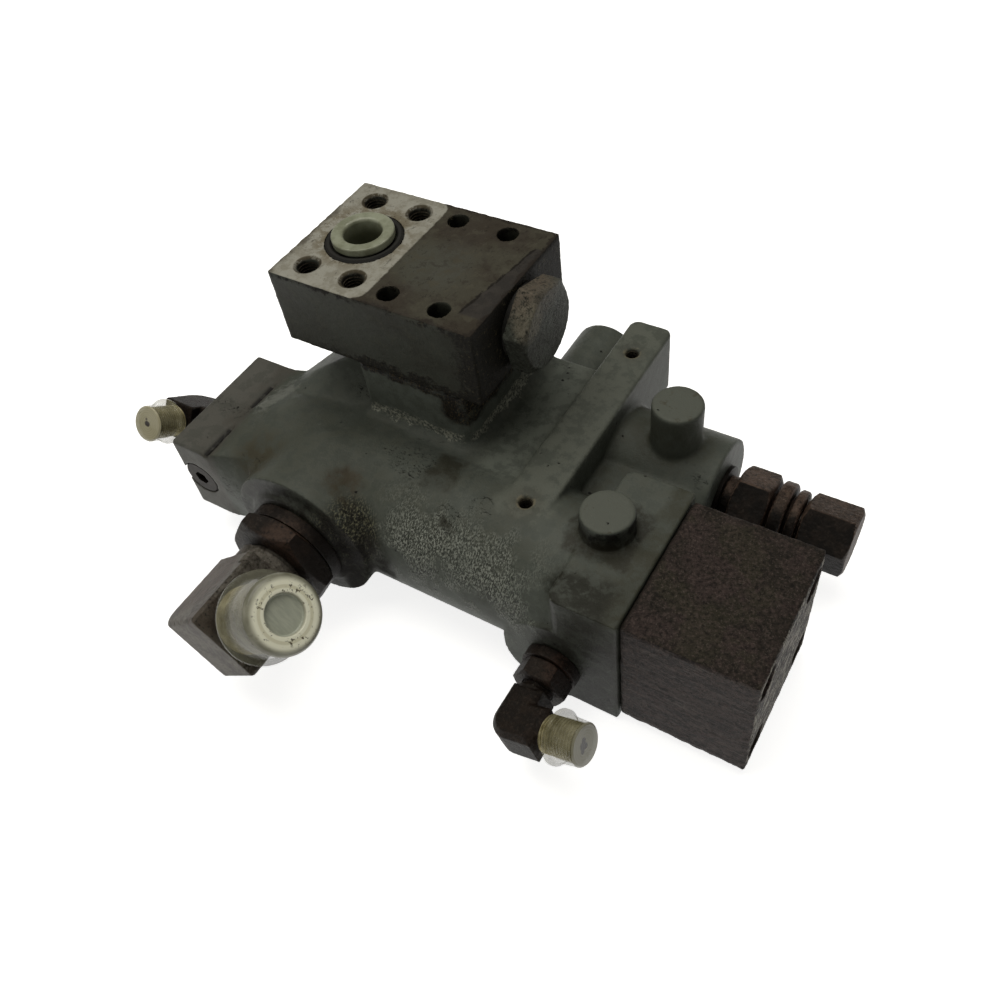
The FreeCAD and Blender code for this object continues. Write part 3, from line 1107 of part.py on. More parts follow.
def relief_body():
    """Screw-in relief cartridge: seat, spring bore, wrench hexagon and threaded stub."""
    hex_start, hex_end, _, nut_end, _, _, _ = relief_stations()
    axis = V(0, REAR_Y, REAR_Z)
    nose = RELIEF_BORE_LEFT_X + SEAT_GAP
    thread = RIGHT_X - RELIEF_THREAD
    screw_r = RELIEF_BORE_R - THREAD_GAP
    edge = RELIEF_NUT_EDGE
    outline = [(nose, 0), (nose, RELIEF_NOSE_R - edge), (nose + edge, RELIEF_NOSE_R), (thread, RELIEF_NOSE_R)]
    throat = RIGHT_X + BONDED_WASHER
    outline += [(thread, screw_r), (throat, screw_r), (throat, RELIEF_THROAT_R), (hex_start, RELIEF_THROAT_R)]
    outline += [(hex_start, RELIEF_STUB_R), (nut_end, RELIEF_STUB_R), (nut_end, 0)]
    body = joined([turned(outline, axis, AXIS_X),
                   hexagon(V(hex_start, REAR_Y, REAR_Z), AXIS_X, RELIEF_HEX, hex_end - hex_start, RELIEF_HEX_TURN)])
    seat = relief_seat_x()
    bore = [(nose - BEYOND, 0), (nose - BEYOND, RELIEF_SEAT_R), (seat, RELIEF_SEAT_R), (seat, RELIEF_SPRING_R)]
    bore += [(nut_end + BEYOND, RELIEF_SPRING_R), (nut_end + BEYOND, 0)]
    vent = V(seat + RELIEF_GUIDE / 2, REAR_Y, REAR_Z - RELIEF_BORE_R)
    return body.cut([turned(bore, axis, AXIS_X), rod(vent, AXIS_Z, RELIEF_VENT_R, 2 * RELIEF_BORE_R)])


def relief_seat_x():
    return RELIEF_BORE_LEFT_X + RELIEF_SEAT_DEPTH


def relief_nose_seal():
    """Seal round the cartridge's nose. It separates the inlet from the way to the drain."""
    start = V(RELIEF_BORE_LEFT_X + RELIEF_SEAL_START, REAR_Y, REAR_Z)
    return ring(start, AXIS_X, RELIEF_NOSE_R + SEAL_GAP, RELIEF_BORE_R - SEAL_GAP, RELIEF_SEAL_LENGTH)


def relief_washer():
    outer = RELIEF_HEX * RELIEF_WASHER_SHARE
    return ring(V(RIGHT_X, REAR_Y, REAR_Z), AXIS_X, RELIEF_BORE_R, outer, BONDED_WASHER)


def relief_poppet():
    """Small cone poppet. Its tip closes the seat and its collar guides it."""
    radius = RELIEF_SPRING_R - RUN_FIT
    seat = relief_seat_x()
    tip_r = RELIEF_SEAT_R - SEAT_GAP
    stem_r = tip_r + RELIEF_STEM_STEP
    guide = seat + RELIEF_GUIDE
    back = guide + RELIEF_GUIDE_LENGTH
    outline = [(seat - RELIEF_TIP, 0), (seat, tip_r), (seat + RELIEF_STEM_STEP, stem_r), (guide, stem_r)]
    outline += [(guide, radius), (back, radius), (back, tip_r), (seat + RELIEF_POPPET, tip_r)]
    outline.append((seat + RELIEF_POPPET, 0))
    return turned(outline, V(0, REAR_Y, REAR_Z), AXIS_X)


def relief_spring_start():
    return relief_seat_x() + RELIEF_GUIDE + RELIEF_GUIDE_LENGTH + SEAT_GAP


def relief_spring():
    mean = RELIEF_SPRING_R - SPRING_SIDE_GAP - RELIEF_SPRING_WIRE / 2
    start = V(relief_spring_start(), REAR_Y, REAR_Z)
    return coil(start, AXIS_X, mean, RELIEF_SPRING_WIRE, RELIEF_SPRING, 6)


def relief_adjuster():
    """Adjusting screw: it loads the spring, and its socket lies under the cap nut."""
    start = relief_spring_start() + RELIEF_SPRING + SEAT_GAP
    end = relief_stations()[-1] + RELIEF_CAP_LENGTH * RELIEF_ADJUSTER_SHARE
    screw = RELIEF_SPRING_R - RUN_FIT
    edge = RELIEF_NUT_EDGE
    outline = [(start, 0), (start, screw - edge), (start + edge, screw), (end - edge, screw)]
    outline += [(end, screw - edge), (end, 0)]
    solid = turned(outline, V(0, REAR_Y, REAR_Z), AXIS_X)
    return solid.cut(prism(V(end, REAR_Y, REAR_Z), -AXIS_X, RELIEF_KEY, RELIEF_KEY_DEPTH))


def relief_locknut():
    """Round lock nut with a wide and a narrow collar."""
    _, _, nut_start, nut_end, ring_start, ring_end, _ = relief_stations()
    inner = RELIEF_STUB_R + THREAD_GAP
    edge = RELIEF_NUT_EDGE
    outline = [(nut_start, inner), (nut_start, RELIEF_NUT_R - edge), (nut_start + edge, RELIEF_NUT_R)]
    outline += [(nut_end - edge, RELIEF_NUT_R), (nut_end, RELIEF_NUT_R - edge), (nut_end, RELIEF_NECK_R)]
    outline += [(ring_start, RELIEF_NECK_R), (ring_start, RELIEF_RING_R - edge)]
    outline.append((ring_start + edge, RELIEF_RING_R))
    outline += [(ring_end - edge, RELIEF_RING_R), (ring_end, RELIEF_RING_R - edge), (ring_end, inner)]
    return turned(outline, V(0, REAR_Y, REAR_Z), AXIS_X)


def relief_cap():
    """Cap nut over the adjusting screw."""
    _, _, _, _, _, ring_end, cap_start = relief_stations()
    base = ring_end + SEAT_GAP
    neck = ring(V(base, REAR_Y, REAR_Z), AXIS_X, RELIEF_SPRING_R + HEAD_GAP, RELIEF_NECK_R, cap_start - base)
    start = V(cap_start, REAR_Y, REAR_Z)
    head = hexagon(start, AXIS_X, RELIEF_CAP_HEX, RELIEF_CAP_LENGTH, RELIEF_HEX_TURN)
    depth = RELIEF_CAP_LENGTH * RELIEF_HOLLOW_SHARE
    hollow = rod(start - AXIS_X * BEYOND, AXIS_X, RELIEF_SPRING_R + HEAD_GAP, depth + BEYOND)
    return joined([neck, head.cut(hollow)])


NODES = {
    "housing": housing,
    "valve_block": valve_block,
    "block_screws": block_screws,
    "block_seals": block_seals,
    "port_seal": port_seal,
    "port_plug": port_plug,
    "load_poppet": poppet,
    "poppet_spring": poppet_spring,
    "hex_plug": hex_plug,
    "hex_plug_seal": hex_plug_seal,
    "control_spool": control_spool,
    "spring_seat": spring_seat,
    "spool_spring": spool_spring,
    "pilot_cap": pilot_cap,
    "pilot_cap_screws": pilot_cap_screws,
    "pilot_cap_seal": pilot_cap_seal,
    "pilot_piston": pilot_piston,
    "piston_seal": piston_seal,
    "gallery_plug": gallery_plug,
    "cross_plug": cross_plug,
    "hose_elbow": HOSE.body,
    "hose_locknut": HOSE.nut,
    "hose_collar": HOSE.collar,
    "hose_port_cap": HOSE.cap,
    "pilot_elbow": PILOT.body,
    "pilot_locknut": PILOT.nut,
    "pilot_collar": PILOT.collar,
    "pilot_port_cap": PILOT.cap,
    "drain_elbow": DRAIN.body,
    "drain_locknut": DRAIN.nut,
    "drain_collar": DRAIN.collar,
    "drain_port_cap": DRAIN.cap,
    "relief_body": relief_body,
    "relief_washer": relief_washer,
    "relief_nose_seal": relief_nose_seal,
    "relief_poppet": relief_poppet,
    "relief_spring": relief_spring,
    "relief_adjuster": relief_adjuster,
    "relief_locknut": relief_locknut,
    "relief_cap": relief_cap,
}

os.makedirs("parts", exist_ok=True)
for name, make in NODES.items():
    shape = make()
    state = "valid" if shape.isValid() else "NOT VALID"
    print(name, state, len(shape.Solids), "solids", round(shape.Volume), "mm3")
    shape.exportStep("parts/" + name + ".step")
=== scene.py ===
# %% [markdown]
# # A used hose rupture valve
# A cylinder's safety valve: a painted casting, a bolted valve block, a rusty pilot cap, forged elbows
# under milky protective caps, and a relief cartridge. The CAD solids come in as a fixed frame, and this
# lesson gives them the skin of an object that has worked outdoors for years.

# %% Load the frame
import bpy
import json
import math
from mathutils import Matrix, Vector

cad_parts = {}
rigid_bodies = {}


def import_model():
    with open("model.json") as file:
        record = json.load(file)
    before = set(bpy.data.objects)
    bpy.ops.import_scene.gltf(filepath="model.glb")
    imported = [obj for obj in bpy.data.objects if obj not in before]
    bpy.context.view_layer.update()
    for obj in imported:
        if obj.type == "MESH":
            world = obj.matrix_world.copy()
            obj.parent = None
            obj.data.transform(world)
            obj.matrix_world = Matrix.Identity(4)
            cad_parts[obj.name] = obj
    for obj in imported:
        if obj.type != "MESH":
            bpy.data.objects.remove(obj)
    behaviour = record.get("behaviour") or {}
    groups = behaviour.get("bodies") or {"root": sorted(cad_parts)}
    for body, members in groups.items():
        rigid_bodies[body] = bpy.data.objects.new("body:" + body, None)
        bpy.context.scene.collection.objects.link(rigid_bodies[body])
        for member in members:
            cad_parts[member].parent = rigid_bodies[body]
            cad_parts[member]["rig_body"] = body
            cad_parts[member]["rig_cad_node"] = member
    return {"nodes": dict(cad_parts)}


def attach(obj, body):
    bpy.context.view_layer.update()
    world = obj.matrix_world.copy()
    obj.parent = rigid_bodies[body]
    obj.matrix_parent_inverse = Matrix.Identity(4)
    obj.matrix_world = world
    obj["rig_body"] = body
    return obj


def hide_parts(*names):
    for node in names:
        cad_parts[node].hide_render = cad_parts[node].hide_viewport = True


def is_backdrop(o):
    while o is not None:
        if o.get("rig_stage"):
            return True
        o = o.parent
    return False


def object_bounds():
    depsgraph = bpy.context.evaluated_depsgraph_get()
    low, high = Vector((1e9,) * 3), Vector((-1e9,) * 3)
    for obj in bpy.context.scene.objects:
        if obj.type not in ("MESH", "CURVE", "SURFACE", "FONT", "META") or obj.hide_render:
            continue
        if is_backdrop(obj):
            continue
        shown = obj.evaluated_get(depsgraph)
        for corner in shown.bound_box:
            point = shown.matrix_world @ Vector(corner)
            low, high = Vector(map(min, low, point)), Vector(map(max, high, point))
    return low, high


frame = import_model()
cad_low, cad_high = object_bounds()
MM = 0.001
METRE = 1000.0  # in millimetres

# %% [markdown]
# ## Camera
# The camera was solved from the valve block's edges and its threaded holes, so it stands where the
# photographer stood. Its axes are the picture's right, up and backward directions.

# %% Camera
lens = bpy.data.cameras.new("camera")
lens.sensor_width = 36.0
lens.lens = 34.612
lens.clip_start, lens.clip_end = 0.01, 10.0
camera = bpy.data.objects.new("camera", lens)
bpy.context.scene.collection.objects.link(camera)
right = Vector((0.8518, 0.5131, -0.1054)).normalized()
forward = Vector((-0.3968, 0.5006, -0.7694)).normalized()
up = right.cross(forward).normalized()
turn = Matrix((right, up, -forward)).transposed().to_4x4()
camera.matrix_world = Matrix.Translation((0.29088, -0.29455, 0.27778)) @ turn
bpy.context.scene.camera = camera
print("camera", [round(value, 3) for value in camera.location])

# %% [markdown]
# ## Shader arithmetic
# Long node trees are easier to read as formulas. A Signal holds one output of one node. Adding or
# multiplying signals adds a Math node, and node() adds any other kind of node.

# %% Signal
class Signal:
    def __init__(self, tree, socket=None):
        self.tree = tree
        self.socket = socket

    def node(self, kind, settings=None, sockets=None, out=0):
        made = self.tree.nodes.new(kind)
        for name, value in (settings or {}).items():
            setattr(made, name, value)
        for name, value in (sockets or {}).items():
            if isinstance(value, Signal):
                self.tree.links.new(value.socket, made.inputs[name])
            else:
                made.inputs[name].default_value = value
        return Signal(self.tree, made.outputs[out] if made.outputs else None)

    def math(self, operation, first, second=0.0):
        return self.node("ShaderNodeMath", {"operation": operation}, {0: first, 1: second})

    def of(self, operation):
        """A function of this signal alone, such as its sine or its square root."""
        return self.math(operation, self)

    def __add__(self, other):
        return self.math("ADD", self, other)

    def __sub__(self, other):
        return self.math("SUBTRACT", self, other)

    def __rsub__(self, other):
        return self.math("SUBTRACT", other, self)

    def __mul__(self, other):
        return self.math("MULTIPLY", self, other)

    __radd__ = __add__
    __rmul__ = __mul__

    def between(self, low, high):
        """0 below low, 1 above high, and a smooth step between them. It falls where low is above high."""
        if low > high:
            return 1.0 - self.between(high, low)
        return self.node("ShaderNodeMapRange", {"interpolation_type": "SMOOTHSTEP"},
                         {"Value": self, "From Min": low, "From Max": high})

    def at_least(self, other):
        return self.math("MAXIMUM", self, other)

    def at_most(self, other):
        return self.math("MINIMUM", self, other)


def rgb(red, green, blue):
    """Linear colour for a socket, from screen values from 0 to 255."""
    values = [value / 255 for value in (red, green, blue)]
    return (*(v / 12.92 if v <= 0.04045 else ((v + 0.055) / 1.055) ** 2.4 for v in values), 1.0)

WANDER = 14.0  # span in millimetres within which a stain's border strays


class Surface:
    """A material under construction. Its patterns are fixed to the piece, with sizes in millimetres."""

    def __init__(self, name):
        self.material = bpy.data.materials.new(name)
        self.material.use_nodes = True
        self.tree = self.material.node_tree
        self.tree.nodes.clear()
        self.start = Signal(self.tree)
        self.place = self.start.node("ShaderNodeTexCoord", out="Object")
        self.nx, self.ny, self.nz = self.parts(self.start.node("ShaderNodeNewGeometry", out="Normal"))
        self.where = {name: part * METRE for name, part in zip("xyz", self.parts(self.place))}
        cloud = self.start.node("ShaderNodeTexNoise", {}, {"Vector": self.place, "Scale": 90.0, "Detail": 5.0,
                                                           "Roughness": 0.65}, out="Color")
        self.ragged = {name: self.where[name] + (drift - 0.5) * WANDER
                       for name, drift in zip("xyz", self.parts(cloud))}

    def parts(self, vector):
        """The three parts of a vector or a colour."""
        split = vector.node("ShaderNodeSeparateXYZ", sockets={"Vector": vector})
        return [Signal(self.tree, output) for output in split.socket.node.outputs]

    def vector(self, operation, first, second=(0, 0, 0), out=0):
        return self.start.node("ShaderNodeVectorMath", {"operation": operation}, {0: first, 1: second}, out)

    def mapped(self, stretch, seed):
        """The piece's own coordinates, stretched, and moved by the seed to another part of a pattern."""
        return self.start.node("ShaderNodeMapping", {}, {"Vector": self.place, "Scale": stretch,
                                                         "Location": (seed, seed, seed)})

    def noise(self, size, detail=4.0, roughness=0.55, stretch=(1, 1, 1), seed=0.0, distortion=0.0):
        """Cloudy pattern whose lumps are about size millimetres wide."""
        return self.start.node("ShaderNodeTexNoise", {"noise_dimensions": "3D"},
                               {"Vector": self.mapped(stretch, seed), "Scale": METRE / size, "Detail": detail,
                                "Roughness": roughness, "Distortion": distortion})

    def cells(self, size, seed=0.0):
        """Distance to scattered points that lie about size millimetres apart."""
        return self.start.node("ShaderNodeTexVoronoi", {"feature": "F1"},
                               {"Vector": self.mapped((1, 1, 1), seed), "Scale": METRE / size},
                               out="Distance")

    def crevice(self, reach):
        """1 in corners and seams that are narrower than reach millimetres, 0 in the open."""
        openness = self.start.node("ShaderNodeAmbientOcclusion", {"samples": 6, "only_local": True},
                                   {"Distance": reach * MM}, out="AO")
        return 1.0 - openness

    def near(self, centre, radius, soft):
        """1 within a radius round a point in millimetres, and 0 past the soft rim."""
        gap = self.vector("DISTANCE", self.place, [c * MM for c in centre], "Value")
        return gap.between((radius + soft) * MM, radius * MM)

    def zone(self, soft=3.0, ragged=True, **spans):
        """1 inside spans of x, y and z in millimetres, with soft borders that wander a little."""
        places = self.ragged if ragged else self.where
        share = 1.0
        for axis, (low, high) in spans.items():
            place = places[axis]
            share = share * place.between(low - soft, low + soft) * place.between(high + soft, high - soft)
        return share

    def worn_edge(self, low, high):
        """1 on the piece's sharpest outer edges."""
        return self.start.node("ShaderNodeNewGeometry", out="Pointiness").between(low, high)

    def along(self, centre, axis):
        """Distance in millimetres along an axis, from a point on it."""
        gap = self.vector("SUBTRACT", self.place, [c * MM for c in centre])
        return self.vector("DOT_PRODUCT", gap, tuple(axis), "Value") * METRE

    def off_axis(self, centre, axis):
        """Distance in millimetres from an axis."""
        gap = self.vector("SUBTRACT", self.place, [c * MM for c in centre])
        return self.vector("LENGTH", self.vector("CROSS_PRODUCT", gap, tuple(axis)), out="Value") * METRE

    def mix(self, mask, under, over):
        return self.start.node("ShaderNodeMix", {"data_type": "RGBA"}, {0: mask, 6: under, 7: over}, out=2)

    def finish(self, colour, roughness, height=None, strength=0.5, metallic=0.0, coat=None, **constants):
        sockets = {"Base Color": colour, "Roughness": roughness, "Metallic": metallic,
                   "Specular IOR Level": 0.3}
        if coat is not None:
            sockets["Coat Weight"] = coat
        sockets.update({name.replace("_", " "): value for name, value in constants.items()})
        if height is not None:
            sockets["Normal"] = self.start.node("ShaderNodeBump", {}, {"Height": height, "Strength": strength,
                                                                       "Distance": MM})
        shader = self.start.node("ShaderNodeBsdfPrincipled", {}, sockets)
        self.start.node("ShaderNodeOutputMaterial", {}, {"Surface": shader})
        return self.material


# %% [markdown]
# ## Floor and lights
# The object lies on a pale floor that fades into the white of the backdrop. A large panel overhead and two
# weaker ones, on the left and in front, give the broad, soft light of a packing table beside a window.

# %% Floor, panels and sky
bpy.ops.mesh.primitive_plane_add(size=8, location=(0, 0, cad_low.z - 0.0002))
floor = bpy.context.object
floor.name = "floor"
floor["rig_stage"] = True
floor_finish = Surface("floor_white")
to_camera = floor_finish.start.node("ShaderNodeLightPath", out="Is Camera Ray")
in_gloss = floor_finish.start.node("ShaderNodeLightPath", out="Is Glossy Ray")
in_glass = floor_finish.start.node("ShaderNodeLightPath", out="Is Transmission Ray")
seen = to_camera.at_least(in_gloss).at_least(in_glass)
matt = floor_finish.start.node("ShaderNodeBsdfDiffuse", {}, {"Color": (0.62, 0.62, 0.6, 1)})
bright = floor_finish.start.node("ShaderNodeBsdfDiffuse", {}, {"Color": (0.92, 0.92, 0.92, 1)})
glow = floor_finish.start.node("ShaderNodeEmission", {}, {"Color": (1, 1, 1, 1), "Strength": 0.8})
lit = floor_finish.start.node("ShaderNodeAddShader", {}, {0: bright, 1: glow})
mixed = floor_finish.start.node("ShaderNodeMixShader", {}, {0: seen, 1: matt, 2: lit})
floor_finish.start.node("ShaderNodeOutputMaterial", {}, {"Surface": mixed})
floor.data.materials.append(floor_finish.material)


def panel(name, place, aim, width, height, watts):
    light = bpy.data.lights.new(name, "AREA")
    light.shape = "RECTANGLE"
    light.size, light.size_y = width, height
    light.energy = watts
    light.color = (1.0, 0.975, 0.9)
    lamp = bpy.data.objects.new(name, light)
    bpy.context.scene.collection.objects.link(lamp)
    lamp.location = place
    lamp.rotation_euler = (Vector(aim) - Vector(place)).to_track_quat("-Z", "Y").to_euler()


centre = (0.06, -0.04, -0.08)
panel("panel_overhead", (-0.1, 0.1, 0.95), centre, 1.1, 0.9, 7.4)
panel("panel_left", (-0.75, -0.75, 0.35), centre, 0.6, 0.6, 0.9)
panel("panel_front", (0.5, -0.9, 0.3), centre, 0.5, 0.5, 0.6)

world = bpy.data.worlds.new("sky")
bpy.context.scene.world = world
world.use_nodes = True
world.node_tree.nodes.clear()
sky = Signal(world.node_tree)
plain = sky.node("ShaderNodeBackground", {}, {"Color": (1.0, 0.975, 0.9, 1), "Strength": 0.12})
white = sky.node("ShaderNodeBackground", {}, {"Color": (1, 1, 1, 1), "Strength": 1.0})
to_eye = sky.node("ShaderNodeLightPath", out="Is Camera Ray")
through = sky.node("ShaderNodeLightPath", out="Is Transmission Ray")
both = sky.node("ShaderNodeMixShader", {}, {0: to_eye.at_least(through), 1: plain, 2: white})
sky.node("ShaderNodeOutputWorld", {}, {"Surface": both})
bpy.context.scene.view_settings.view_transform = "Standard"
print("floor at", round(floor.location.z, 4))

# %% [markdown]
# ## Paint on the casting
# The housing was cast, shot-blasted and sprayed grey-green. Where the sand left a coarse skin, painted
# glints stand for its sparkle. Dried brown oil and painted shade darken every corner, and the paint is
# chipped to a light line along the neck's foot. Each stain below sits at its own place in millimetres, as
# it would when painted with a sponge, and so do the painted shadows, shade and highlights among them.

# %% Casting paint
def casting_paint():
    s = Surface("casting_paint")
    broad = s.noise(60, 5, 0.6, seed=1.0)
    film = s.noise(8, 6, 0.7, seed=2.0)
    speck = s.noise(1.5, 3, 0.75, seed=3.0)
    fine = s.noise(0.8, 2, 0.6, seed=5.0)
    grit = s.noise(0.95, 3, 0.7, stretch=(1.5, 0.7, 0.7), seed=6.0)
    paint = s.mix(broad.between(0.35, 0.65), rgb(93, 98, 92), rgb(78, 82, 75))
    paint = s.mix(s.nz.between(0.3, 0.95) * film.between(0.42, 0.58) * 0.3, paint, rgb(72, 70, 57))
    paint = s.mix(s.zone(2, False, x=(-90, -52), y=(-120, -10)) * 0.6, paint, rgb(92, 88, 84))
    coarse = s.zone(20, x=(58, 146), y=(-110, -84), z=(-118, -76))
    coarse = coarse * s.noise(22, 4, 0.6, seed=8.0).between(0.42, 0.56)
    coarse = coarse * (0.45 + broad.between(0.4, 0.5) * 0.55)
    oily = s.near((36, -101, -100), 15, 9)
    paint = s.mix(film.between(0.54, 0.44) * 0.3, paint, rgb(50, 52, 43))
    paint = s.mix(oily * film.between(0.36, 0.5) * 0.85, paint, rgb(34, 32, 21))
    # Painted glints: bright grains stand for the sparkle of the coarse skin.
    paint = s.mix(coarse * grit.between(0.49, 0.57) * 0.95, paint, rgb(182, 186, 176))
    paint = s.mix(coarse * grit.between(0.47, 0.4) * 0.8, paint, rgb(34, 35, 30))
    # Painted glints: bright grains in the oil by the hose boss stand for its wet sparkle.
    paint = s.mix(oily * grit.between(0.53, 0.6) * 0.75, paint, rgb(136, 134, 108))
    paint = s.mix(oily * grit.between(0.48, 0.41) * 0.8, paint, rgb(14, 12, 7))

    # Painted shade: the right side of the hose boss is painted near black, and it is also made rougher.
    boss_shade = s.zone(4, x=(30, 62), y=(-126, -102), z=(-158, -98))
    stains_and_painted_light = (
        (s.zone(4, x=(22, 37), y=(-97, -80), z=(-98, -76)), 0.75, (58, 47, 27)),
        (s.near((50, -103, -112), 10, 10), 0.8, (24, 20, 12)),
        (s.zone(2.5, x=(21, 27), y=(-92, -76), z=(-92, -76)), 0.7, (50, 38, 20)),
        (s.zone(1.5, x=(86, 94), y=(-88, -82), z=(-90, -78)), 0.8, (40, 38, 28)),
        (s.near((-24, -92, -87), 9, 14), 0.65, (60, 52, 32)),
        (s.zone(3, x=(66, 82), y=(-72, -50), z=(-80, -74)), 0.75, (40, 37, 25)),
        (s.zone(2, x=(146, 180), y=(-76, -40), z=(-82, -66)), 0.75, (34, 30, 20)),
        # Painted shade: the sides of the two bosses by the pilot cap are darkened, the near one almost to
        # black.
        (s.zone(2, x=(144, 184), y=(-76, -52), z=(-80, -62)) * s.nz.between(0.7, 0.3), 0.97, (12, 10, 6)),
        (s.zone(2, x=(146, 182), y=(-4, 36), z=(-80, -62)) * s.nz.between(0.7, 0.3), 0.35, (60, 62, 54)),
        (s.zone(3, x=(146, 193), y=(-114, -103), z=(-168, -92)), 0.6, (36, 33, 28)),
        (s.near((163, 17, -80), 16, 12), 0.45, (44, 42, 26)),
        (s.zone(3, x=(180, 192), y=(-108, -18), z=(-79, -70)), 0.6, (50, 48, 32)),
        (s.near((120.5, -60.5, -75), 5.5, 7), 0.8, (50, 41, 24)),
        (s.near((120.5, 53.2, -75), 5.0, 6), 0.75, (42, 36, 24)),
        (s.zone(4, x=(148, 192), y=(-108, -101), z=(-168, -82)), 0.8, (24, 21, 15)),
        # Painted light: the deck right of the neck is lightened to lift it out of the shade of the block and
        # rib.
        (s.zone(6, x=(84, 106), y=(-50, 70), z=(-88, -70)), 0.7, (116, 121, 112)),
        (s.zone(5, x=(132, 156), y=(-60, 60), z=(-112, -76)), 0.45, (46, 46, 36)),
        (s.zone(5, x=(-62, -50), y=(-112, -20), z=(-100, -84)), 0.4, (50, 44, 32)),
        # Painted shade on the hose boss: its front faces and its right side go near black.
        (s.near((8, -113, -113), 36, 10) * s.ny.between(-0.2, -0.7), 0.9, (22, 18, 12)),
        (boss_shade, 1.0, (14, 11, 7)),
        (s.zone(3, x=(148, 190), y=(-101, -60), z=(-77, -70)), 0.35, (54, 52, 40)),
        (s.zone(3, x=(106, 136), y=(-70, 82), z=(-78, -70)), 0.7, (102, 105, 96)),
        (s.zone(5, x=(148, 184), y=(-112, -84), z=(-90, -70)), 0.95, (32, 32, 23)),
        (s.zone(2, x=(148, 192), y=(-112, -104), z=(-98, -80)), 0.7, (28, 26, 20)),
        # Painted shade with rust: faces that look down are darker.
        (s.nz.between(-0.3, -0.8), 0.5, (44, 38, 30)),
    )
    for place, share, colour in stains_and_painted_light:
        paint = s.mix(place * (film.between(0.4, 0.55) * 0.6 + 0.4) * share, paint, rgb(*colour))
    tops = s.zone(0.6, False, x=(148, 178), y=(-72, 31), z=(-63, -60)) * s.nz.between(0.6, 0.85)
    paint = s.mix(tops, paint, s.mix(film.between(0.55, 0.65) * 0.6, rgb(90, 93, 85), rgb(66, 58, 42)))
    for x, y in ((120.5, -60.5), (120.5, 53.2)):
        ring = s.near((x, y, -74.7), 4.4, 0.8) - s.near((x, y, -74.7), 3.2, 0.6)
        paint = s.mix(ring * film.between(0.4, 0.52) * 0.8, paint, rgb(118, 112, 94))

    # Painted shadow: the two grooves beside the left end block go near black, as under the block's step.
    for low_y, high_y in ((-101, -80), (-62, -44)):
        slot = s.zone(0.7, False, x=(-57.6, -54.4), y=(low_y, high_y)) * s.nz.between(0.2, 0.5)
        paint = s.mix(slot * (0.5 + film.between(0.38, 0.5) * 0.5), paint, rgb(14, 12, 9))
    # Painted highlight: a pale band along the lit crest of the taper.
    ridge_highlight = s.zone(1.6, x=(-50, -38), y=(-66, -34)) * s.nz.between(0.5, 0.8)
    paint = s.mix(ridge_highlight * film.between(0.4, 0.56) * 0.6, paint, rgb(124, 126, 120))
    # Dirt and painted shade: corners and narrow seams are darkened brown, blotched by dirt.
    seam = s.crevice(9)
    corner_dirt_and_shade = seam.between(0.25, 0.75) * s.noise(5, 5, 0.7, seed=7.0).between(0.4, 0.56)
    corner_dirt_and_shade = corner_dirt_and_shade.at_least(s.crevice(2.5).between(0.45, 0.85))
    paint = s.mix(corner_dirt_and_shade * 0.85, paint, rgb(26, 21, 14))
    pits = (s.cells(9, seed=4.0) + (speck - 0.5) * 0.3).between(0.09, 0.05)
    pits = pits * s.noise(24, 2, seed=9.0).between(0.5, 0.58)
    scratch = s.noise(2.6, 4, 0.8, stretch=(0.7, 1.6, 1.6), seed=31.0, distortion=1.5)
    marks = s.noise(40, 3, 0.6, seed=33.0).between(0.6, 0.66)
    for spot, radius, soft in (((43, -59, -75), 5, 2), ((103, -72, -76), 5, 2), ((-23, -96, -90), 7, 3),
                               ((89, -84, -80), 6, 3)):
        marks = marks.at_least(s.near(spot, radius, soft))
    pits = pits.at_least(marks * scratch.between(0.58, 0.62))
    paint = s.mix(pits, paint, rgb(14, 12, 9))
    # Painted shadow: the gap under the block and the neck's side beneath it go near black, with flecks of
    # dirt.
    under = s.zone(1.2, x=(4, 82), y=(-46, 44), z=(-48, -43))
    under = under.at_least(s.zone(2.5, x=(62, 84), y=(-46, 30), z=(-62, -43)))
    paint = s.mix(under * (0.6 + film.between(0.4, 0.5) * 0.4), paint, rgb(12, 9, 5))
    paint = s.mix(under * grit.between(0.55, 0.62) * 0.6, paint, rgb(96, 84, 60))
    chip = s.zone(1.0, x=(6, 76), y=(-43.5, -39), z=(-76, -70.5))
    chip = chip.at_least(s.zone(1.0, x=(76, 80.5), y=(-42, 24), z=(-76, -70)))
    chip = chip.at_least(s.zone(1.2, x=(7, 13), y=(-43, -38), z=(-76, -58)) * 0.7)
    chip = chip * s.noise(1.4, 4, 0.75, seed=12.0).between(0.46, 0.54)
    chip = chip * (0.55 + film.between(0.42, 0.52) * 0.45)
    chip = chip.at_least(s.worn_edge(0.545, 0.585) * film.between(0.5, 0.58) * 0.7)
    paint = s.mix(chip, paint, rgb(156, 157, 144))
    height = grit * (1.6 * coarse + 1.4 * oily + 0.1) + speck * 0.12 + film * 0.4 + fine * 0.1
    height = height + corner_dirt_and_shade * 0.3 - chip * 0.25 - pits * 0.6
    gloss = 0.48 - coarse * 0.14 - oily * 0.16 + corner_dirt_and_shade * 0.3 + boss_shade * 0.4 + fine * 0.08
    return s.finish(paint, gloss, height, 0.8, Specular_IOR_Level=0.2)


# %% [markdown]
# ## Paint and bare steel on the block
# The pipe's flange kept the paint off its own seat, so a pale patch with round corners surrounds the port.
# The rest of the top is filmed with brown oil, and a flake of thick paint has lifted near the hexagon plug.

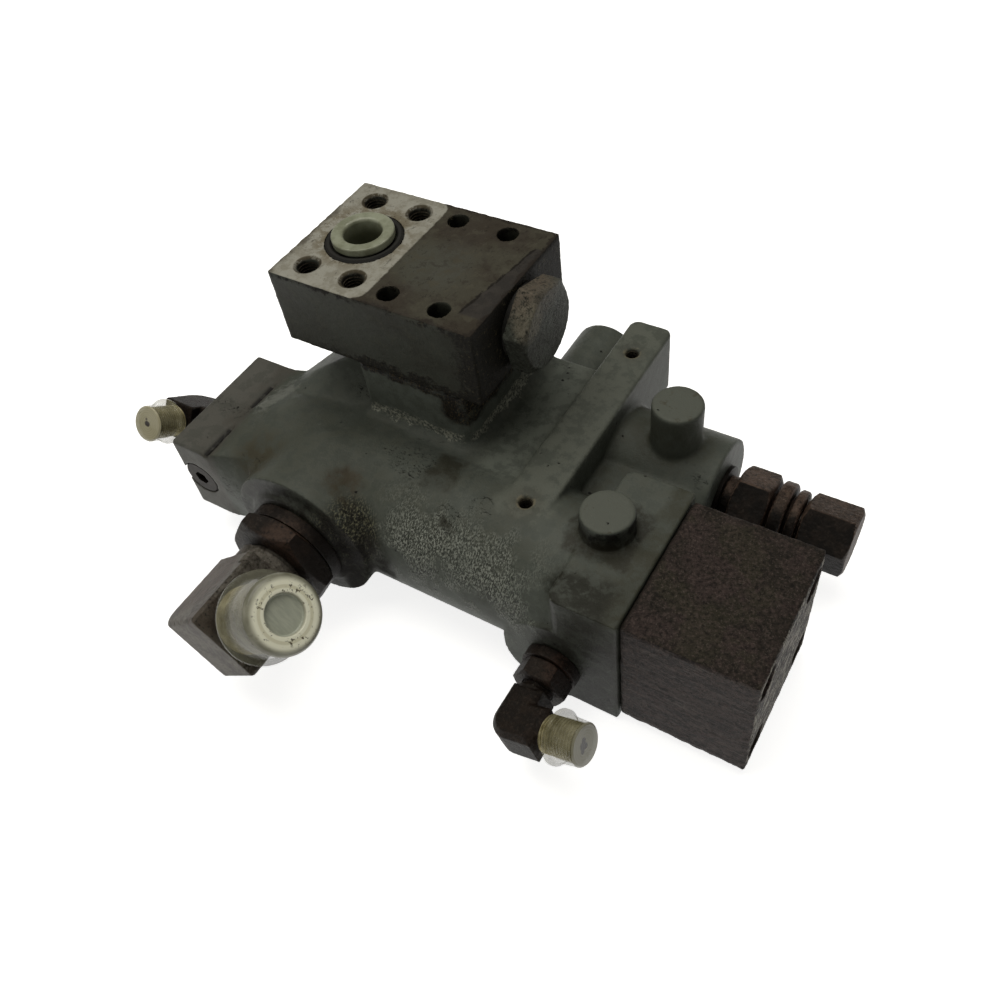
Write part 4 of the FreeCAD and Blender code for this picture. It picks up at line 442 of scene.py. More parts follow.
# %% Block paint
def block_paint():
    s = Surface("block_paint")
    film = s.noise(7, 6, 0.7, seed=1.0)
    broad = s.noise(34, 4, 0.6, seed=2.0)
    speck = s.noise(1.3, 3, 0.75, seed=3.0)
    x, y, z = s.where["x"], s.where["y"], s.where["z"]
    top = s.nz.between(0.5, 0.8) * z.between(-2.5, -1.5)
    side = s.mix(broad.between(0.4, 0.6), rgb(58, 60, 53), rgb(48, 48, 41))
    side = s.mix(film.between(0.52, 0.6) * 0.35, side, rgb(72, 72, 62))
    low = (z * -1.0 + (film - 0.5) * 30.0).between(36, 40) * x.between(-24, 14)
    right = (x + (film - 0.5) * 40.0).between(74, 84)
    high = (z + (film - 0.5) * 12.0).between(-3.5, -1.5) * s.noise(16, 4, 0.7, seed=27.0).between(0.48, 0.56)
    grime = low.at_least(right).at_least(high).at_least(s.nx.between(0.5, 0.9))
    side = s.mix(grime * 0.95, side, rgb(19, 16, 10))
    crust = s.noise(3.2, 5, 0.8, seed=28.0)
    side = s.mix(grime * crust.between(0.57, 0.63) * 0.55, side, rgb(88, 82, 64))
    side = s.mix(grime * speck.between(0.57, 0.63) * 0.35 * s.nx.between(0.7, 0.4), side, rgb(84, 80, 66))
    side = s.mix(grime * speck.between(0.48, 0.42), side, rgb(7, 6, 3))

    oil = s.mix(broad.between(0.4, 0.6), rgb(66, 63, 52), rgb(56, 50, 41))
    oil = s.mix(s.near((46, -4, 0), 10, 16) * film.between(0.3, 0.6) * 0.8, oil, rgb(76, 77, 69))
    oil = s.mix(film.between(0.53, 0.62) * 0.5, oil, rgb(46, 39, 32))
    oil = s.mix(film.between(0.46, 0.4) * 0.4, oil, rgb(78, 75, 62))
    flake_x = x - y * 0.16 + (s.noise(9, 4, 0.7, seed=21.0) - 0.5) * 5.0
    flake_span = y.between(-30, -28) * y.between(27, 25)
    flake = flake_x.between(79.2, 79.8) * flake_span
    rim = (flake_x.between(78.2, 79.0) - flake_x.between(79.6, 80.2)) * flake_span
    oil = s.mix(flake, oil, s.mix(film.between(0.45, 0.55), rgb(54, 50, 46), rgb(48, 45, 42)))
    oil = s.mix(rim * film.between(0.38, 0.5), oil, rgb(26, 22, 17))
    corner_x = (x - 18.5).at_least(0.0)
    y_size = y.of("ABSOLUTE")
    corner_y = (y_size - 33.0).at_least(0.0)
    reach = (corner_x * corner_x + corner_y * corner_y).of("SQRT")
    edge = reach + (s.noise(4, 5, 0.7, seed=23.0) - 0.5) * 2.2
    bare = edge.between(8.6, 7.6)
    metal = s.mix(film.between(0.44, 0.62) * 0.7, rgb(160, 158, 148), rgb(134, 130, 117))
    tan = s.near((-2, 2, 0), 21, 8) * film.between(0.4, 0.55)
    metal = s.mix(tan * 0.65, metal, rgb(112, 102, 80))
    worn = s.near((-24, 0, 0), 14, 14).at_least(tan).at_least(0.25)
    metal = s.mix(s.noise(1.6, 5, 0.75, seed=24.0).between(0.56, 0.63) * 0.75 * worn, metal, rgb(84, 72, 52))
    for hole_x in (-13.88, 13.88):
        for hole_y in (-28.575, 28.575):
            mouth = s.near((hole_x, hole_y, 0), 6.7, 0.8)
            metal = s.mix(mouth * (film.between(0.42, 0.5) * 0.5 + 0.4), metal, rgb(66, 58, 42))
    metal = s.mix(s.zone(2, x=(-34, -27), y=(-45, 20)) * 0.7, metal, rgb(74, 68, 56))
    rim_gap = (x + 30.0).at_most(88.5 - x).at_most(41.25 - y_size)
    oil = s.mix((rim_gap + (film - 0.5) * 16.0).between(3.0, 0.5) * 0.85, oil, rgb(34, 27, 21))
    face = s.mix(bare, oil, metal)
    tone = s.mix(top, side, face)
    # Painted shade: holes and tight corners of the block are darkened brown.
    hole_shade = s.crevice(3.5).between(0.3, 0.7)
    tone = s.mix(hole_shade * 0.85, tone, rgb(26, 21, 14))
    chip = s.worn_edge(0.54, 0.58) * film.between(0.48, 0.54)
    tone = s.mix(chip * 0.7, tone, rgb(112, 106, 86))
    lines = s.noise(3, 5, 0.8, stretch=(1.0, 0.5, 1.0), seed=26.0).between(0.6, 0.64)
    tone = s.mix(lines * 0.5, tone, rgb(22, 18, 12))
    height = film * 0.5 + speck * 0.25 * grime + speck * 0.12 + top * (1.0 - bare) * 0.35 + flake * 0.5 * top
    gloss = 0.42 + film * 0.2 + top * 0.08 + grime * 0.15
    return s.finish(tone, gloss, height, 0.6, bare * top * 0.35, Specular_IOR_Level=0.2)


# %% [markdown]
# ## Rust and oxide
# The pilot cap is a sawn block of bare steel that has rusted dark purple-brown. Its front still shows the
# saw's level streaks, and scale flakes off its end. The fittings are forged. On each, the side that its
# shade names and every corner are painted dark, as shade and as old oil on their dark skin.

# %% Rusted steels
def rusted_block():
    s = Surface("rusted_block")
    mottle = s.noise(15, 6, 0.7, seed=1.0)
    speck = s.noise(1.9, 4, 0.8, seed=2.0)
    fine = s.noise(0.9, 2, 0.7, seed=3.0)
    streak = s.noise(4.5, 5, 0.7, stretch=(0.22, 1.0, 1.5), seed=4.0)
    flakes = s.noise(5, 6, 0.75, seed=5.0)
    up, end = s.nz.between(0.5, 0.85), s.nx.between(0.6, 0.9)
    top = s.mix(mottle.between(0.42, 0.58), rgb(56, 46, 43), rgb(42, 37, 31))
    top = s.mix(s.noise(26, 4, 0.6, seed=6.0).between(0.5, 0.58) * 0.6, top, rgb(50, 48, 35))
    front = s.mix(streak.between(0.42, 0.58), rgb(62, 54, 52), rgb(33, 28, 27))
    saw_marks = s.noise(3, 5, 0.7, stretch=(0.15, 1.0, 1.6), seed=7.0)
    front = s.mix(saw_marks.between(0.55, 0.62) * 0.6, front, rgb(92, 86, 82))
    split = s.noise(6, 5, 0.75, stretch=(1.0, 2.2, 0.5), seed=9.0)
    scale = s.mix(flakes.between(0.44, 0.52), rgb(172, 168, 158), rgb(56, 49, 42))
    scale = s.mix(split.between(0.54, 0.58), scale, rgb(12, 9, 7))
    tone = s.mix(up, front, top)
    tone = s.mix(end, tone, scale)
    tone = s.mix(speck.between(0.53, 0.6) * 0.45, tone, rgb(88, 74, 70))
    tone = s.mix(speck.between(0.47, 0.4) * 0.8, tone, rgb(20, 15, 13))
    tone = s.mix(fine.between(0.6, 0.66) * 0.3, tone, rgb(120, 108, 102))
    tone = s.mix(s.cells(7, seed=8.0).between(0.16, 0.07) * flakes.between(0.5, 0.6), tone, rgb(14, 11, 9))
    # Painted shade: corners and recesses of the pilot cap are darkened almost to black.
    tone = s.mix(s.crevice(4).between(0.3, 0.8) * 0.9, tone, rgb(16, 12, 9))
    seam = s.where["x"].between(193, 190.5)
    tone = s.mix(seam * 0.8, tone, rgb(24, 19, 14))
    tone = s.mix(s.worn_edge(0.56, 0.66) * flakes.between(0.45, 0.55) * 0.7, tone, rgb(104, 94, 86))
    height = speck * 0.7 + fine * 0.25 + streak * 0.3 + flakes * 0.8 * (end + 0.3)
    height = height - split.between(0.54, 0.58) * end * 1.5
    return s.finish(tone, 0.62 + mottle * 0.15 - speck * 0.12, height, 0.9, 0.1, Specular_IOR_Level=0.2)


def forged(name, light, dark, oil=0.6, seed=0.0, flake=2.0, patches=(), bare=0.5, shade=("nz", 0.35, 0.0)):
    """Oxidised forging: worn edges are bright; corners and the side shade names get painted shade and oil."""
    s = Surface(name)
    body = s.noise(12, 6, 0.7, seed=seed + 1.0)
    speck = s.noise(flake, 5, 0.75, seed=seed + 2.0)
    fine = s.noise(0.8, 3, 0.7, seed=seed + 3.0)
    tone = s.mix(body.between(0.42, 0.58), rgb(*light), rgb(*dark))
    tone = s.mix(speck.between(0.54, 0.62) * 0.5, tone, rgb(*[min(255, c + 30) for c in light]))
    tone = s.mix(speck.between(0.46, 0.38) * 0.8, tone, rgb(18, 14, 10))
    for centre, radius, soft, share, colour in patches:
        tone = s.mix(s.near(centre, radius, soft) * speck.between(0.35, 0.55) * share, tone, rgb(*colour))
    tone = s.mix(s.worn_edge(0.56, 0.68) * body.between(0.4, 0.6) * bare, tone, rgb(136, 130, 116))
    side, low, high = shade
    # Painted shade with old oil: faces on the side that shade names, and every corner, go near black.
    side_shade = getattr(s, side).between(low, high) * (oil * (0.8 + 0.2 * body.between(0.6, 0.45)))
    tone = s.mix(side_shade.at_least(s.crevice(5).between(0.35, 0.8) * 0.9), tone, rgb(18, 14, 11))
    height = speck * 0.55 + fine * 0.2 + body * 0.5
    return s.finish(tone, 0.6 - speck * 0.15, height, 0.8, 0.15, Specular_IOR_Level=0.2)


# %% [markdown]
# ## Plain metals, rubber and plastic
# Screws, seals and the inner pieces are clean beside the rest. They get a fine grain and a slow change of
# tone, because even a ground face is never one flat colour. The caps are milky polyethylene, through which
# the thread shows, so they let some light pass.

# %% Plain finishes and plastics
def plain_finish(name, colour, roughness, metallic=0.0, size=2.0, depth=0.4, vary=0.35):
    s = Surface(name)
    mottle = s.noise(size * 8, 5, 0.6, seed=2.0)
    grain = s.noise(size, 4, 0.6, seed=5.0)
    bright = rgb(*colour)
    darker = (*(c * (1 - vary) for c in bright[:3]), 1.0)
    tone = s.mix(mottle.between(0.3, 0.7), bright, darker)
    return s.finish(tone, roughness + grain * 0.15, grain * 0.3, depth, metallic)


def slanted(first, second, angle):
    a = math.radians(angle)
    return Vector(first) * math.cos(a) + Vector(second) * math.sin(a)


HOSE = ((8, -167, -113), slanted((1, 0, 0), (0, 0, 1), 40.5))
PILOT = ((156, -139.6, -131), slanted((1, 0, 0), (0, 0, 1), 20.5))
DRAIN = ((-107.3, -64.5, -114), slanted((0, -1, 0), (0, 0, 1), 37))


def zinc_thread():
    s = Surface("thread_zinc")
    film = s.noise(5, 5, 0.7, seed=1.0)
    fine = s.noise(0.9, 3, 0.7, seed=2.0)
    tone = s.mix(film.between(0.35, 0.65), rgb(196, 188, 152), rgb(136, 126, 90))
    tone = s.mix(fine.between(0.6, 0.7) * 0.5, tone, rgb(60, 50, 32))
    # Painted shade: the roots of the thread are darkened.
    tone = s.mix(s.crevice(1.2).between(0.2, 0.7) * 0.8, tone, rgb(40, 36, 22))
    return s.finish(tone, 0.35 + film * 0.2, fine * 0.3, 0.5, 0.6)


def milky_cap():
    """Hose cap: cloudy wall, thick pale end ring brightened as a painted highlight, grey recess floor."""
    s = Surface("milky_cap")
    centre, axis = HOSE
    along, off = s.along(centre, axis), s.off_axis(centre, axis)
    cloud = s.noise(14, 5, 0.6, seed=1.0)
    grime = s.noise(3, 5, 0.75, seed=2.0)
    drawn = s.noise(1.2, 3, 0.6, stretch=(0.2, 1.0, 0.2), seed=3.0)
    end = along.between(66.5, 68.5)
    floor = along.between(68.8, 68.0) * off.between(9.9, 9.3)
    ring = end * off.between(17.5, 14.5) * off.between(9.0, 10.4)
    tone = s.mix(cloud.between(0.3, 0.7), rgb(152, 151, 134), rgb(114, 113, 97))
    # Painted highlight: the thick end ring is painted near white.
    tone = s.mix(ring, tone, rgb(255, 254, 232))
    tone = s.mix(floor, tone, s.mix(drawn.between(0.3, 0.7), rgb(186, 190, 174), rgb(170, 174, 160)))
    inner = off.between(13.6, 12.9) * off.between(11.4, 12.0) * end
    tone = s.mix(inner * 0.4, tone, rgb(190, 182, 140))
    soil = grime.between(0.56, 0.64) * (0.25 + off.between(18, 12)) * (1.0 - floor)
    tone = s.mix(soil, tone, rgb(74, 62, 40))
    clear = 0.36 + end * 0.58 + floor * 0.5 + cloud * 0.14
    return s.finish(tone, 0.28 + cloud * 0.15, cloud * 0.4 + grime * 0.1, 0.3, coat=0.4,
                    Alpha=clear.at_most(1.0))


def clear_cap(name, centre, axis, seed, flat_tone):
    """Small cap: nearly clear over the thread, with a pale flat end and a dark dimple in it."""
    s = Surface(name)
    along, off = s.along(centre, axis), s.off_axis(centre, axis)
    cloud = s.noise(7, 5, 0.65, seed=seed)
    turned = (along * 4.0).of("SINE")
    rings = (off * 5.0).of("SINE")
    end = along.between(38.2, 38.8)
    tone = s.mix(cloud.between(0.35, 0.65), rgb(186, 181, 150), rgb(132, 127, 96))
    tone = s.mix(turned.between(0.2, 0.9) * (1.0 - end) * 0.5, tone, rgb(86, 80, 52))
    tone = s.mix(end, tone, rgb(*flat_tone))
    tone = s.mix(end * rings.between(0.3, 1.0) * 0.25, tone, rgb(120, 118, 96))
    spot = [c + a * 39.0 for c, a in zip(centre, axis)]
    dimple = 0.0
    for shift, size in (((-0.5, -1.4, 1.3), 2.0), ((-1.1, 0.3, 2.9), 1.2), ((0.1, -3.1, -0.3), 1.1),
                        ((0.4, -0.2, 0.2), 1.2)):
        dimple = s.near([c + d for c, d in zip(spot, shift)], size, 0.6).at_least(dimple)
    tone = s.mix(dimple, tone, rgb(34, 24, 17))
    soil = s.noise(2.4, 5, 0.75, seed=seed + 3.0).between(0.6, 0.72)
    tone = s.mix(soil * 0.6, tone, rgb(74, 64, 40))
    clear = 0.3 + end * 0.6 + dimple * 0.3 + soil * 0.3 + cloud * 0.1
    return s.finish(tone, 0.22 + cloud * 0.15, turned * 0.25 + rings * 0.1, 0.3, coat=0.5,
                    Alpha=clear.at_most(1.0))


def port_plug_plastic():
    s = Surface("plug_plastic")
    cloud = s.noise(9, 5, 0.65, seed=1.0)
    soil = s.noise(2.5, 5, 0.75, seed=2.0)
    tone = s.mix(cloud.between(0.35, 0.65), rgb(150, 154, 134), rgb(124, 127, 106))
    # Painted shade: the plug's hollow is darker further down.
    recess_shade = s.where["z"].between(3.0, -5.0)
    tone = s.mix(recess_shade * 0.85, tone, rgb(66, 68, 48))
    tone = s.mix(soil.between(0.58, 0.7) * 0.5, tone, rgb(120, 112, 80))
    return s.finish(tone, 0.32 + cloud * 0.15, cloud * 0.4, 0.3, coat=0.3)


block_look = block_paint()
cap_block_look = rusted_block()
# Each fitting's oil sets how dark its painted shade with old oil is on the side that its shade names.
nut_rust = forged("nut_rust", (38, 30, 24), (24, 18, 14), oil=0.8, seed=4.0, flake=1.8,
                  patches=[((20, -128, -88), 10, 8, 0.8, (72, 56, 47)),
                           ((166, -112, -118), 6, 6, 0.5, (70, 50, 40))],
                  shade=("nx", 0.3, 0.75))
elbow_steel = forged("elbow_steel", (97, 92, 84), (70, 65, 58), oil=0.0, seed=7.0, flake=1.6,
                     patches=[((-8, -158, -98), 15, 10, 0.75, (72, 56, 46)),
                              ((-10, -165, -120), 10, 8, 0.8, (132, 122, 108)),
                              ((17, -179, -84), 7, 6, 0.5, (62, 48, 38)),
                              ((24, -176, -92), 6, 5, 0.6, (40, 31, 24))])
small_elbow_steel = forged("small_elbow_steel", (36, 27, 20), (24, 18, 13), oil=0.9, seed=11.0, flake=1.5,
                           patches=[((150, -152, -138), 9, 5, 0.3, (60, 54, 48))])
relief_steel = forged("relief_steel", (86, 70, 60), (64, 52, 44), oil=1.0, seed=13.0, flake=1.8,
                      shade=("ny", -0.3, -0.6))
plug_steel = forged("plug_steel", (66, 69, 62), (50, 51, 44), oil=0.1, seed=17.0, flake=1.8,
                    patches=[((84, 2, 2), 16, 10, 0.85, (102, 92, 80)),
                             ((104, -14, -8), 7, 5, 0.5, (128, 120, 104))], bare=1.0)
thread_zinc = zinc_thread()
looks = {
    "casting_paint": casting_paint(),
    "block_paint": block_look,
    "rusted_steel": cap_block_look,
    "fitting_steel": nut_rust,
    "screw_steel": plain_finish("screw_steel", (34, 29, 24), 0.5, 0.6),
    "hardened_steel": plain_finish("hardened_steel", (170, 168, 164), 0.25, 1.0, vary=0.1),
    "spring_steel": plain_finish("spring_steel", (110, 108, 104), 0.35, 1.0, vary=0.2),
    "seal_rubber": plain_finish("seal_rubber", (34, 33, 30), 0.6),
    "plug_plastic": port_plug_plastic(),
    "cap_plastic": milky_cap(),
}
for node in frame["nodes"].values():
    for index, material in enumerate(node.data.materials):
        key = [name for name in looks if name in material.name]
        if key:
            node.data.materials[index] = looks[key[0]]
print(len(looks), "looks for the slots of", len(frame["nodes"]), "nodes")

# %% [markdown]
# ## Skins
# A CAD solid has knife-sharp edges and flat faces. On the real valve they are cast, forged, knocked and
# rusted. Each rough piece is a merged copy of its solid, remeshed into an even skin, which rounds its edges
# by about one cell, and then dented inwards, so that it never leaves the room of the solid.

# %% Copy, remesh and dent
def pick(piece):
    bpy.ops.object.select_all(action="DESELECT")
    piece.select_set(True)
    bpy.context.view_layer.objects.active = piece


def press(piece):
    """Applies every modifier of a piece, in their order."""
    pick(piece)
    for modifier in list(piece.modifiers):
        bpy.ops.object.modifier_apply(modifier=modifier.name)


def copy_of(node, name):
    """A copy of a CAD node whose loose triangles are merged into one closed mesh."""
    pick(frame["nodes"][node])
    bpy.ops.object.duplicate()
    piece = bpy.context.object
    piece.name = piece.data.name = name
    del piece["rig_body"], piece["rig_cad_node"]
    piece.parent = None
    bpy.ops.mesh.customdata_custom_splitnormals_clear()
    bpy.ops.object.mode_set(mode="EDIT")
    bpy.ops.mesh.select_all(action="SELECT")
    bpy.ops.mesh.remove_doubles(threshold=0.01 * MM)
    bpy.ops.object.mode_set(mode="OBJECT")
    return piece


def remesh(piece, cell):
    """Lays an even skin of small cells over a piece and relaxes it a little."""
    even = piece.modifiers.new("even", "REMESH")
    even.mode = "VOXEL"
    even.voxel_size = cell * MM
    even.use_smooth_shade = True
    soft = piece.modifiers.new("soft", "SMOOTH")
    soft.factor, soft.iterations = 0.5, 2
    press(piece)


def dent(piece, size, depth, octaves=2, group=None):
    """Presses a cloudy pattern into the skin, never outwards."""
    texture = bpy.data.textures.new("clouds", "CLOUDS")
    texture.noise_scale = size * MM
    texture.noise_depth = octaves
    push = piece.modifiers.new("dent", "DISPLACE")
    push.texture = texture
    push.texture_coords = "LOCAL"
    push.mid_level = 1.0
    push.strength = depth * MM
    if group:
        push.vertex_group = group
    press(piece)


def weigh(piece, name, weight):
    """Vertex group whose weight is a function of the vertex's place in millimetres."""
    group = piece.vertex_groups.new(name=name)
    for vertex in piece.data.vertices:
        share = weight(*(c / MM for c in vertex.co))
        if share > 0.01:
            group.add([vertex.index], min(1.0, share), "REPLACE")


def dress(piece, look):
    piece.data.materials.clear()
    piece.data.materials.append(look)


def stand_for(piece, body, slot, *nodes):
    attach(piece, body)
    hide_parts(*nodes)
    print(piece.name, len(piece.data.polygons), "faces")


def near_edges(low, high, reach):
    """Weight that is 1 on the edges of a box and 0 further in than reach."""
    def weight(*place):
        gaps = sorted(min(abs(c - a), abs(c - b)) for c, a, b in zip(place, low, high))
        return 1.0 - gaps[1] / reach if gaps[0] < 1.5 else 0.0
    return weight


def near_line(first, second, reach):
    """Weight that is 1 on a line between two points and 0 at a distance of reach."""
    first, second = Vector(first), Vector(second)
    way = second - first

    def weight(*place):
        share = max(0.0, min(1.0, (Vector(place) - first).dot(way) / way.length_squared))
        gap = (Vector(place) - first - way * share).length
        return 1.0 - (gap / reach) ** 2 if gap < reach else 0.0
    return weight


# %% [markdown]
# ## The rough pieces
# Each row names a node, the size of its skin's cells, its slot and look, and the size and depth of its
# dents, all in millimetres. The edges of the block and of the pilot cap are chipped as well. The casting
# also gets the two grooves beside its left end block, and a soft crest between the hose boss and the barrel.

# %% Rough pieces
ROOT = "valve_body"
GROOVES = (((-55.9, -62, -85.7), (-55.9, -44, -85.7)), ((-55.9, -101, -85.7), (-55.9, -80, -85.7)))
GROOVE_REACH, GROOVE_DEPTH = 2.6, 1.8
MOST_TRIANGLES = 190000
rough = {
    "housing": (1.05, "casting_paint", looks["casting_paint"], 3.5, 0.22),
    "valve_block": (0.8, "block_paint", block_look, 2.0, 0.12),
    "pilot_cap": (0.9, "rusted_steel", cap_block_look, 2.5, 0.5),
    "hose_locknut": (0.5, "fitting_steel", nut_rust, 2.0, 0.3),
    "hose_collar": (0.5, "fitting_steel", nut_rust, 2.0, 0.3),
    "pilot_locknut": (0.4, "fitting_steel", nut_rust, 1.5, 0.25),
    "pilot_collar": (0.4, "fitting_steel", nut_rust, 1.5, 0.25),
    "drain_locknut": (0.4, "fitting_steel", nut_rust, 1.5, 0.25),
    "drain_collar": (0.4, "fitting_steel", nut_rust, 1.5, 0.25),
    "relief_body": (0.6, "fitting_steel", relief_steel, 2.0, 0.3),
    "relief_locknut": (0.45, "fitting_steel", relief_steel, 2.0, 0.25),
    "relief_cap": (0.5, "fitting_steel", relief_steel, 2.0, 0.3),
    "hex_plug": (0.5, "fitting_steel", plug_steel, 2.5, 0.35),
}
chipped = {
    "valve_block": ((-30, -41.25, -43.1), (88.5, 41.25, 0), 2.2, 3.0, 0.7),
    "pilot_cap": ((190, -104, -153.5), (254, -25, -74.5), 3.5, 4.0, 1.8),
}


def shape_casting(piece):
    """Presses in the two grooves and softens the crest between the hose boss and the barrel."""
    for ends in GROOVES:
        weigh(piece, "groove", near_line(*ends, GROOVE_REACH))
        push = piece.modifiers.new("groove", "DISPLACE")
        push.mid_level = 0.0
        push.strength = -GROOVE_DEPTH * MM
        push.vertex_group = "groove"
        press(piece)
        piece.vertex_groups.clear()
    weigh(piece, "blend", lambda x, y, z: 1.0 if Vector((x - 6, y + 76, z + 80)).length < 44
          and y > -104 and not (y > -44 and z > -80) and x > -50 else 0.0)
    blend = piece.modifiers.new("blend", "SMOOTH")
    blend.factor, blend.iterations, blend.vertex_group = 0.5, 160, "blend"
    press(piece)
    piece.vertex_groups.clear()


for node, (cell, slot, look, size, depth) in rough.items():
    piece = copy_of(node, node + "_skin")
    remesh(piece, cell)
    if node == "housing":
        shape_casting(piece)
    dent(piece, size, depth)
    if node in chipped:
        low, high, reach, lump, bite = chipped[node]
        weigh(piece, "edges", near_edges(low, high, reach))
        dent(piece, lump, bite, 3, "edges")
    if node == "housing":
        fewer = piece.modifiers.new("fewer", "DECIMATE")
        fewer.ratio = min(1.0, MOST_TRIANGLES / sum(len(face.vertices) - 2 for face in piece.data.polygons))
        press(piece)
        bpy.ops.object.shade_smooth()
    dress(piece, look)
    stand_for(piece, ROOT, slot, node)

# %% [markdown]
# ## Threads
# An elbow's outlet carries a fine thread, which shows through the milky cap. One tooth is drawn point by
# point and swept round with a Screw modifier. The ends are cut flat, and the bore is pressed in.

# %% Drawing and turning
def draw(name, points):
    """An open outline, drawn as when a vertex is extruded from place to place."""
    points = [Vector(point) for point in points]
    bpy.ops.object.select_all(action="DESELECT")
    bpy.ops.mesh.primitive_plane_add(size=MM, location=points[0])
    piece = bpy.context.object
    piece.name = piece.data.name = name
    bpy.ops.object.transform_apply()
    bpy.ops.object.mode_set(mode="EDIT")
    bpy.ops.mesh.select_mode(type="VERT")
    bpy.ops.mesh.select_all(action="SELECT")
    bpy.ops.mesh.merge(type="CENTER")
    for first, second in zip(points, points[1:]):
        bpy.ops.mesh.extrude_vertices_move(TRANSFORM_OT_translate={"value": second - first})
    bpy.ops.object.mode_set(mode="OBJECT")
    return piece


def tidy(piece, angle):
    bpy.ops.object.mode_set(mode="EDIT")
    bpy.ops.mesh.select_all(action="SELECT")
    bpy.ops.mesh.remove_doubles(threshold=0.005 * MM)
    bpy.ops.mesh.normals_make_consistent(inside=False)
    bpy.ops.object.mode_set(mode="OBJECT")
    bpy.ops.object.shade_smooth_by_angle(angle=math.radians(angle))


def spun(name, outline, centre, axis, steps, angle=35):
    """Turned piece. The outline is a list of (distance along the axis, radius) in millimetres."""
    axis = Vector(axis).normalized()
    side = axis.orthogonal().normalized()
    centre = Vector(centre) * MM
    piece = draw(name, [centre + axis * (a * MM) + side * (r * MM) for a, r in outline])
    bpy.ops.object.mode_set(mode="EDIT")
    bpy.ops.mesh.select_all(action="SELECT")
    bpy.ops.mesh.spin(steps=steps, angle=math.tau, center=centre, axis=axis)
    tidy(piece, angle)
    return piece


BORE_SHOWN = 16  # millimetres of bore behind a thread's mouth

def threaded(name, root, crest, pitch, start, end, centre, axis, bore, steps=48):
    """Threaded stub between two stations on an axis, with a flat mouth and the start of its bore."""
    axis = Vector(axis).normalized()
    turns = math.ceil((end - start) / pitch) + 3
    low = (start - 1.5 * pitch) * MM
    tooth = [(0, root), (0.12, root), (0.5, crest), (0.62, crest), (1, root)]
    piece = draw(name, [Vector((r * MM, 0, low + a * pitch * MM)) for a, r in tooth])
    screw = piece.modifiers.new("screw", "SCREW")
    screw.screw_offset = pitch * MM
    screw.iterations = turns
    screw.steps = screw.render_steps = steps
    screw.use_merge_vertices = True
    press(piece)
    for station, keep_above in ((start, True), (end, False)):
        bpy.ops.object.mode_set(mode="EDIT")
        bpy.ops.mesh.select_all(action="SELECT")
        bpy.ops.mesh.remove_doubles(threshold=0.005 * MM)
        bpy.ops.mesh.select_all(action="SELECT")
        bpy.ops.mesh.bisect(plane_co=(0, 0, station * MM), plane_no=(0, 0, 1), use_fill=True,
                            clear_inner=keep_above, clear_outer=not keep_above)
        bpy.ops.object.mode_set(mode="OBJECT")
    tidy(piece, 40)
    bpy.ops.object.mode_set(mode="EDIT")
    bpy.ops.mesh.select_mode(type="FACE")
    bpy.ops.mesh.select_all(action="DESELECT")
    bpy.ops.object.mode_set(mode="OBJECT")
    for face in piece.data.polygons:
        face.select = face.normal.z > 0.99 and face.center.z > (end - 0.01) * MM
    bpy.ops.object.mode_set(mode="EDIT")
    bpy.ops.mesh.inset(thickness=(root - bore) * MM * 0.9, use_even_offset=False)
    bpy.ops.mesh.extrude_region_move(TRANSFORM_OT_translate={"value": (0, 0, -BORE_SHOWN * MM)})
    bpy.ops.object.mode_set(mode="OBJECT")
    turn = Vector((0, 0, 1)).rotation_difference(axis).to_matrix().to_4x4()
    piece.matrix_world = Matrix.Translation(Vector(centre) * MM) @ turn
    bpy.ops.object.transform_apply(location=True, rotation=True, scale=True)
    return piece


def elbow(node, cell, look, thread, centre, axis, cut, end, root, crest, pitch, bore):
    """Forged elbow: the skin of its body, joined with a threaded outlet."""
    piece = copy_of(node, node + "_forging")
    axis = Vector(axis).normalized()
    bpy.ops.object.mode_set(mode="EDIT")
    bpy.ops.mesh.select_all(action="SELECT")
    bpy.ops.mesh.bisect(plane_co=Vector(centre) * MM + axis * (cut * MM), plane_no=axis, use_fill=True,
                        clear_outer=True)
    bpy.ops.object.mode_set(mode="OBJECT")
    remesh(piece, cell)
    dent(piece, 2.5, 0.3)
    outlet = threaded(thread, root, crest, pitch, cut - 1, end, centre, axis, bore)
    bpy.ops.object.select_all(action="DESELECT")
    outlet.select_set(True)
    piece.select_set(True)
    bpy.context.view_layer.objects.active = piece
    dress(outlet, thread_zinc)
    dress(piece, look)
    bpy.ops.object.join()
    stand_for(piece, ROOT, "fitting_steel", node)


elbow("hose_elbow", 0.7, elbow_steel, "hose_thread", *HOSE,
      cut=28, end=59, root=15.3, crest=16.5, pitch=2.0, bore=12)
small_outlet = {"cut": 20, "end": 37, "root": 8.2, "crest": 9.0, "pitch": 1.5, "bore": 4}
elbow("pilot_elbow", 0.5, small_elbow_steel, "pilot_thread", *PILOT, **small_outlet)
elbow("drain_elbow", 0.5, small_elbow_steel, "drain_thread", *DRAIN, **small_outlet)

# %% [markdown]
# ## Caps and port plug
# The caps are turned from an outline that follows their mould: a thin flange at the mouth, a wall that
# grows slimmer, and a soft rim at the end. The hose cap's end is sunk a little inside its rim, and its
# floor shows as a grey disc. Bevel modifiers round what a mould can't leave sharp.

# %% Caps and plug
def soften(piece, width):
    bevel = piece.modifiers.new("soft", "BEVEL")
    bevel.width = width * MM
    bevel.segments = 3
    bevel.angle_limit = math.radians(25)
    press(piece)
    bpy.ops.object.shade_smooth_by_angle(angle=math.radians(50))


def cap(node, outline, place, slot, look, width, steps=96):
    piece = spun(node + "_moulded", outline, *place, steps)
    soften(piece, width)
    dress(piece, look)
    stand_for(piece, frame["nodes"][node]["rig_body"], slot, node)


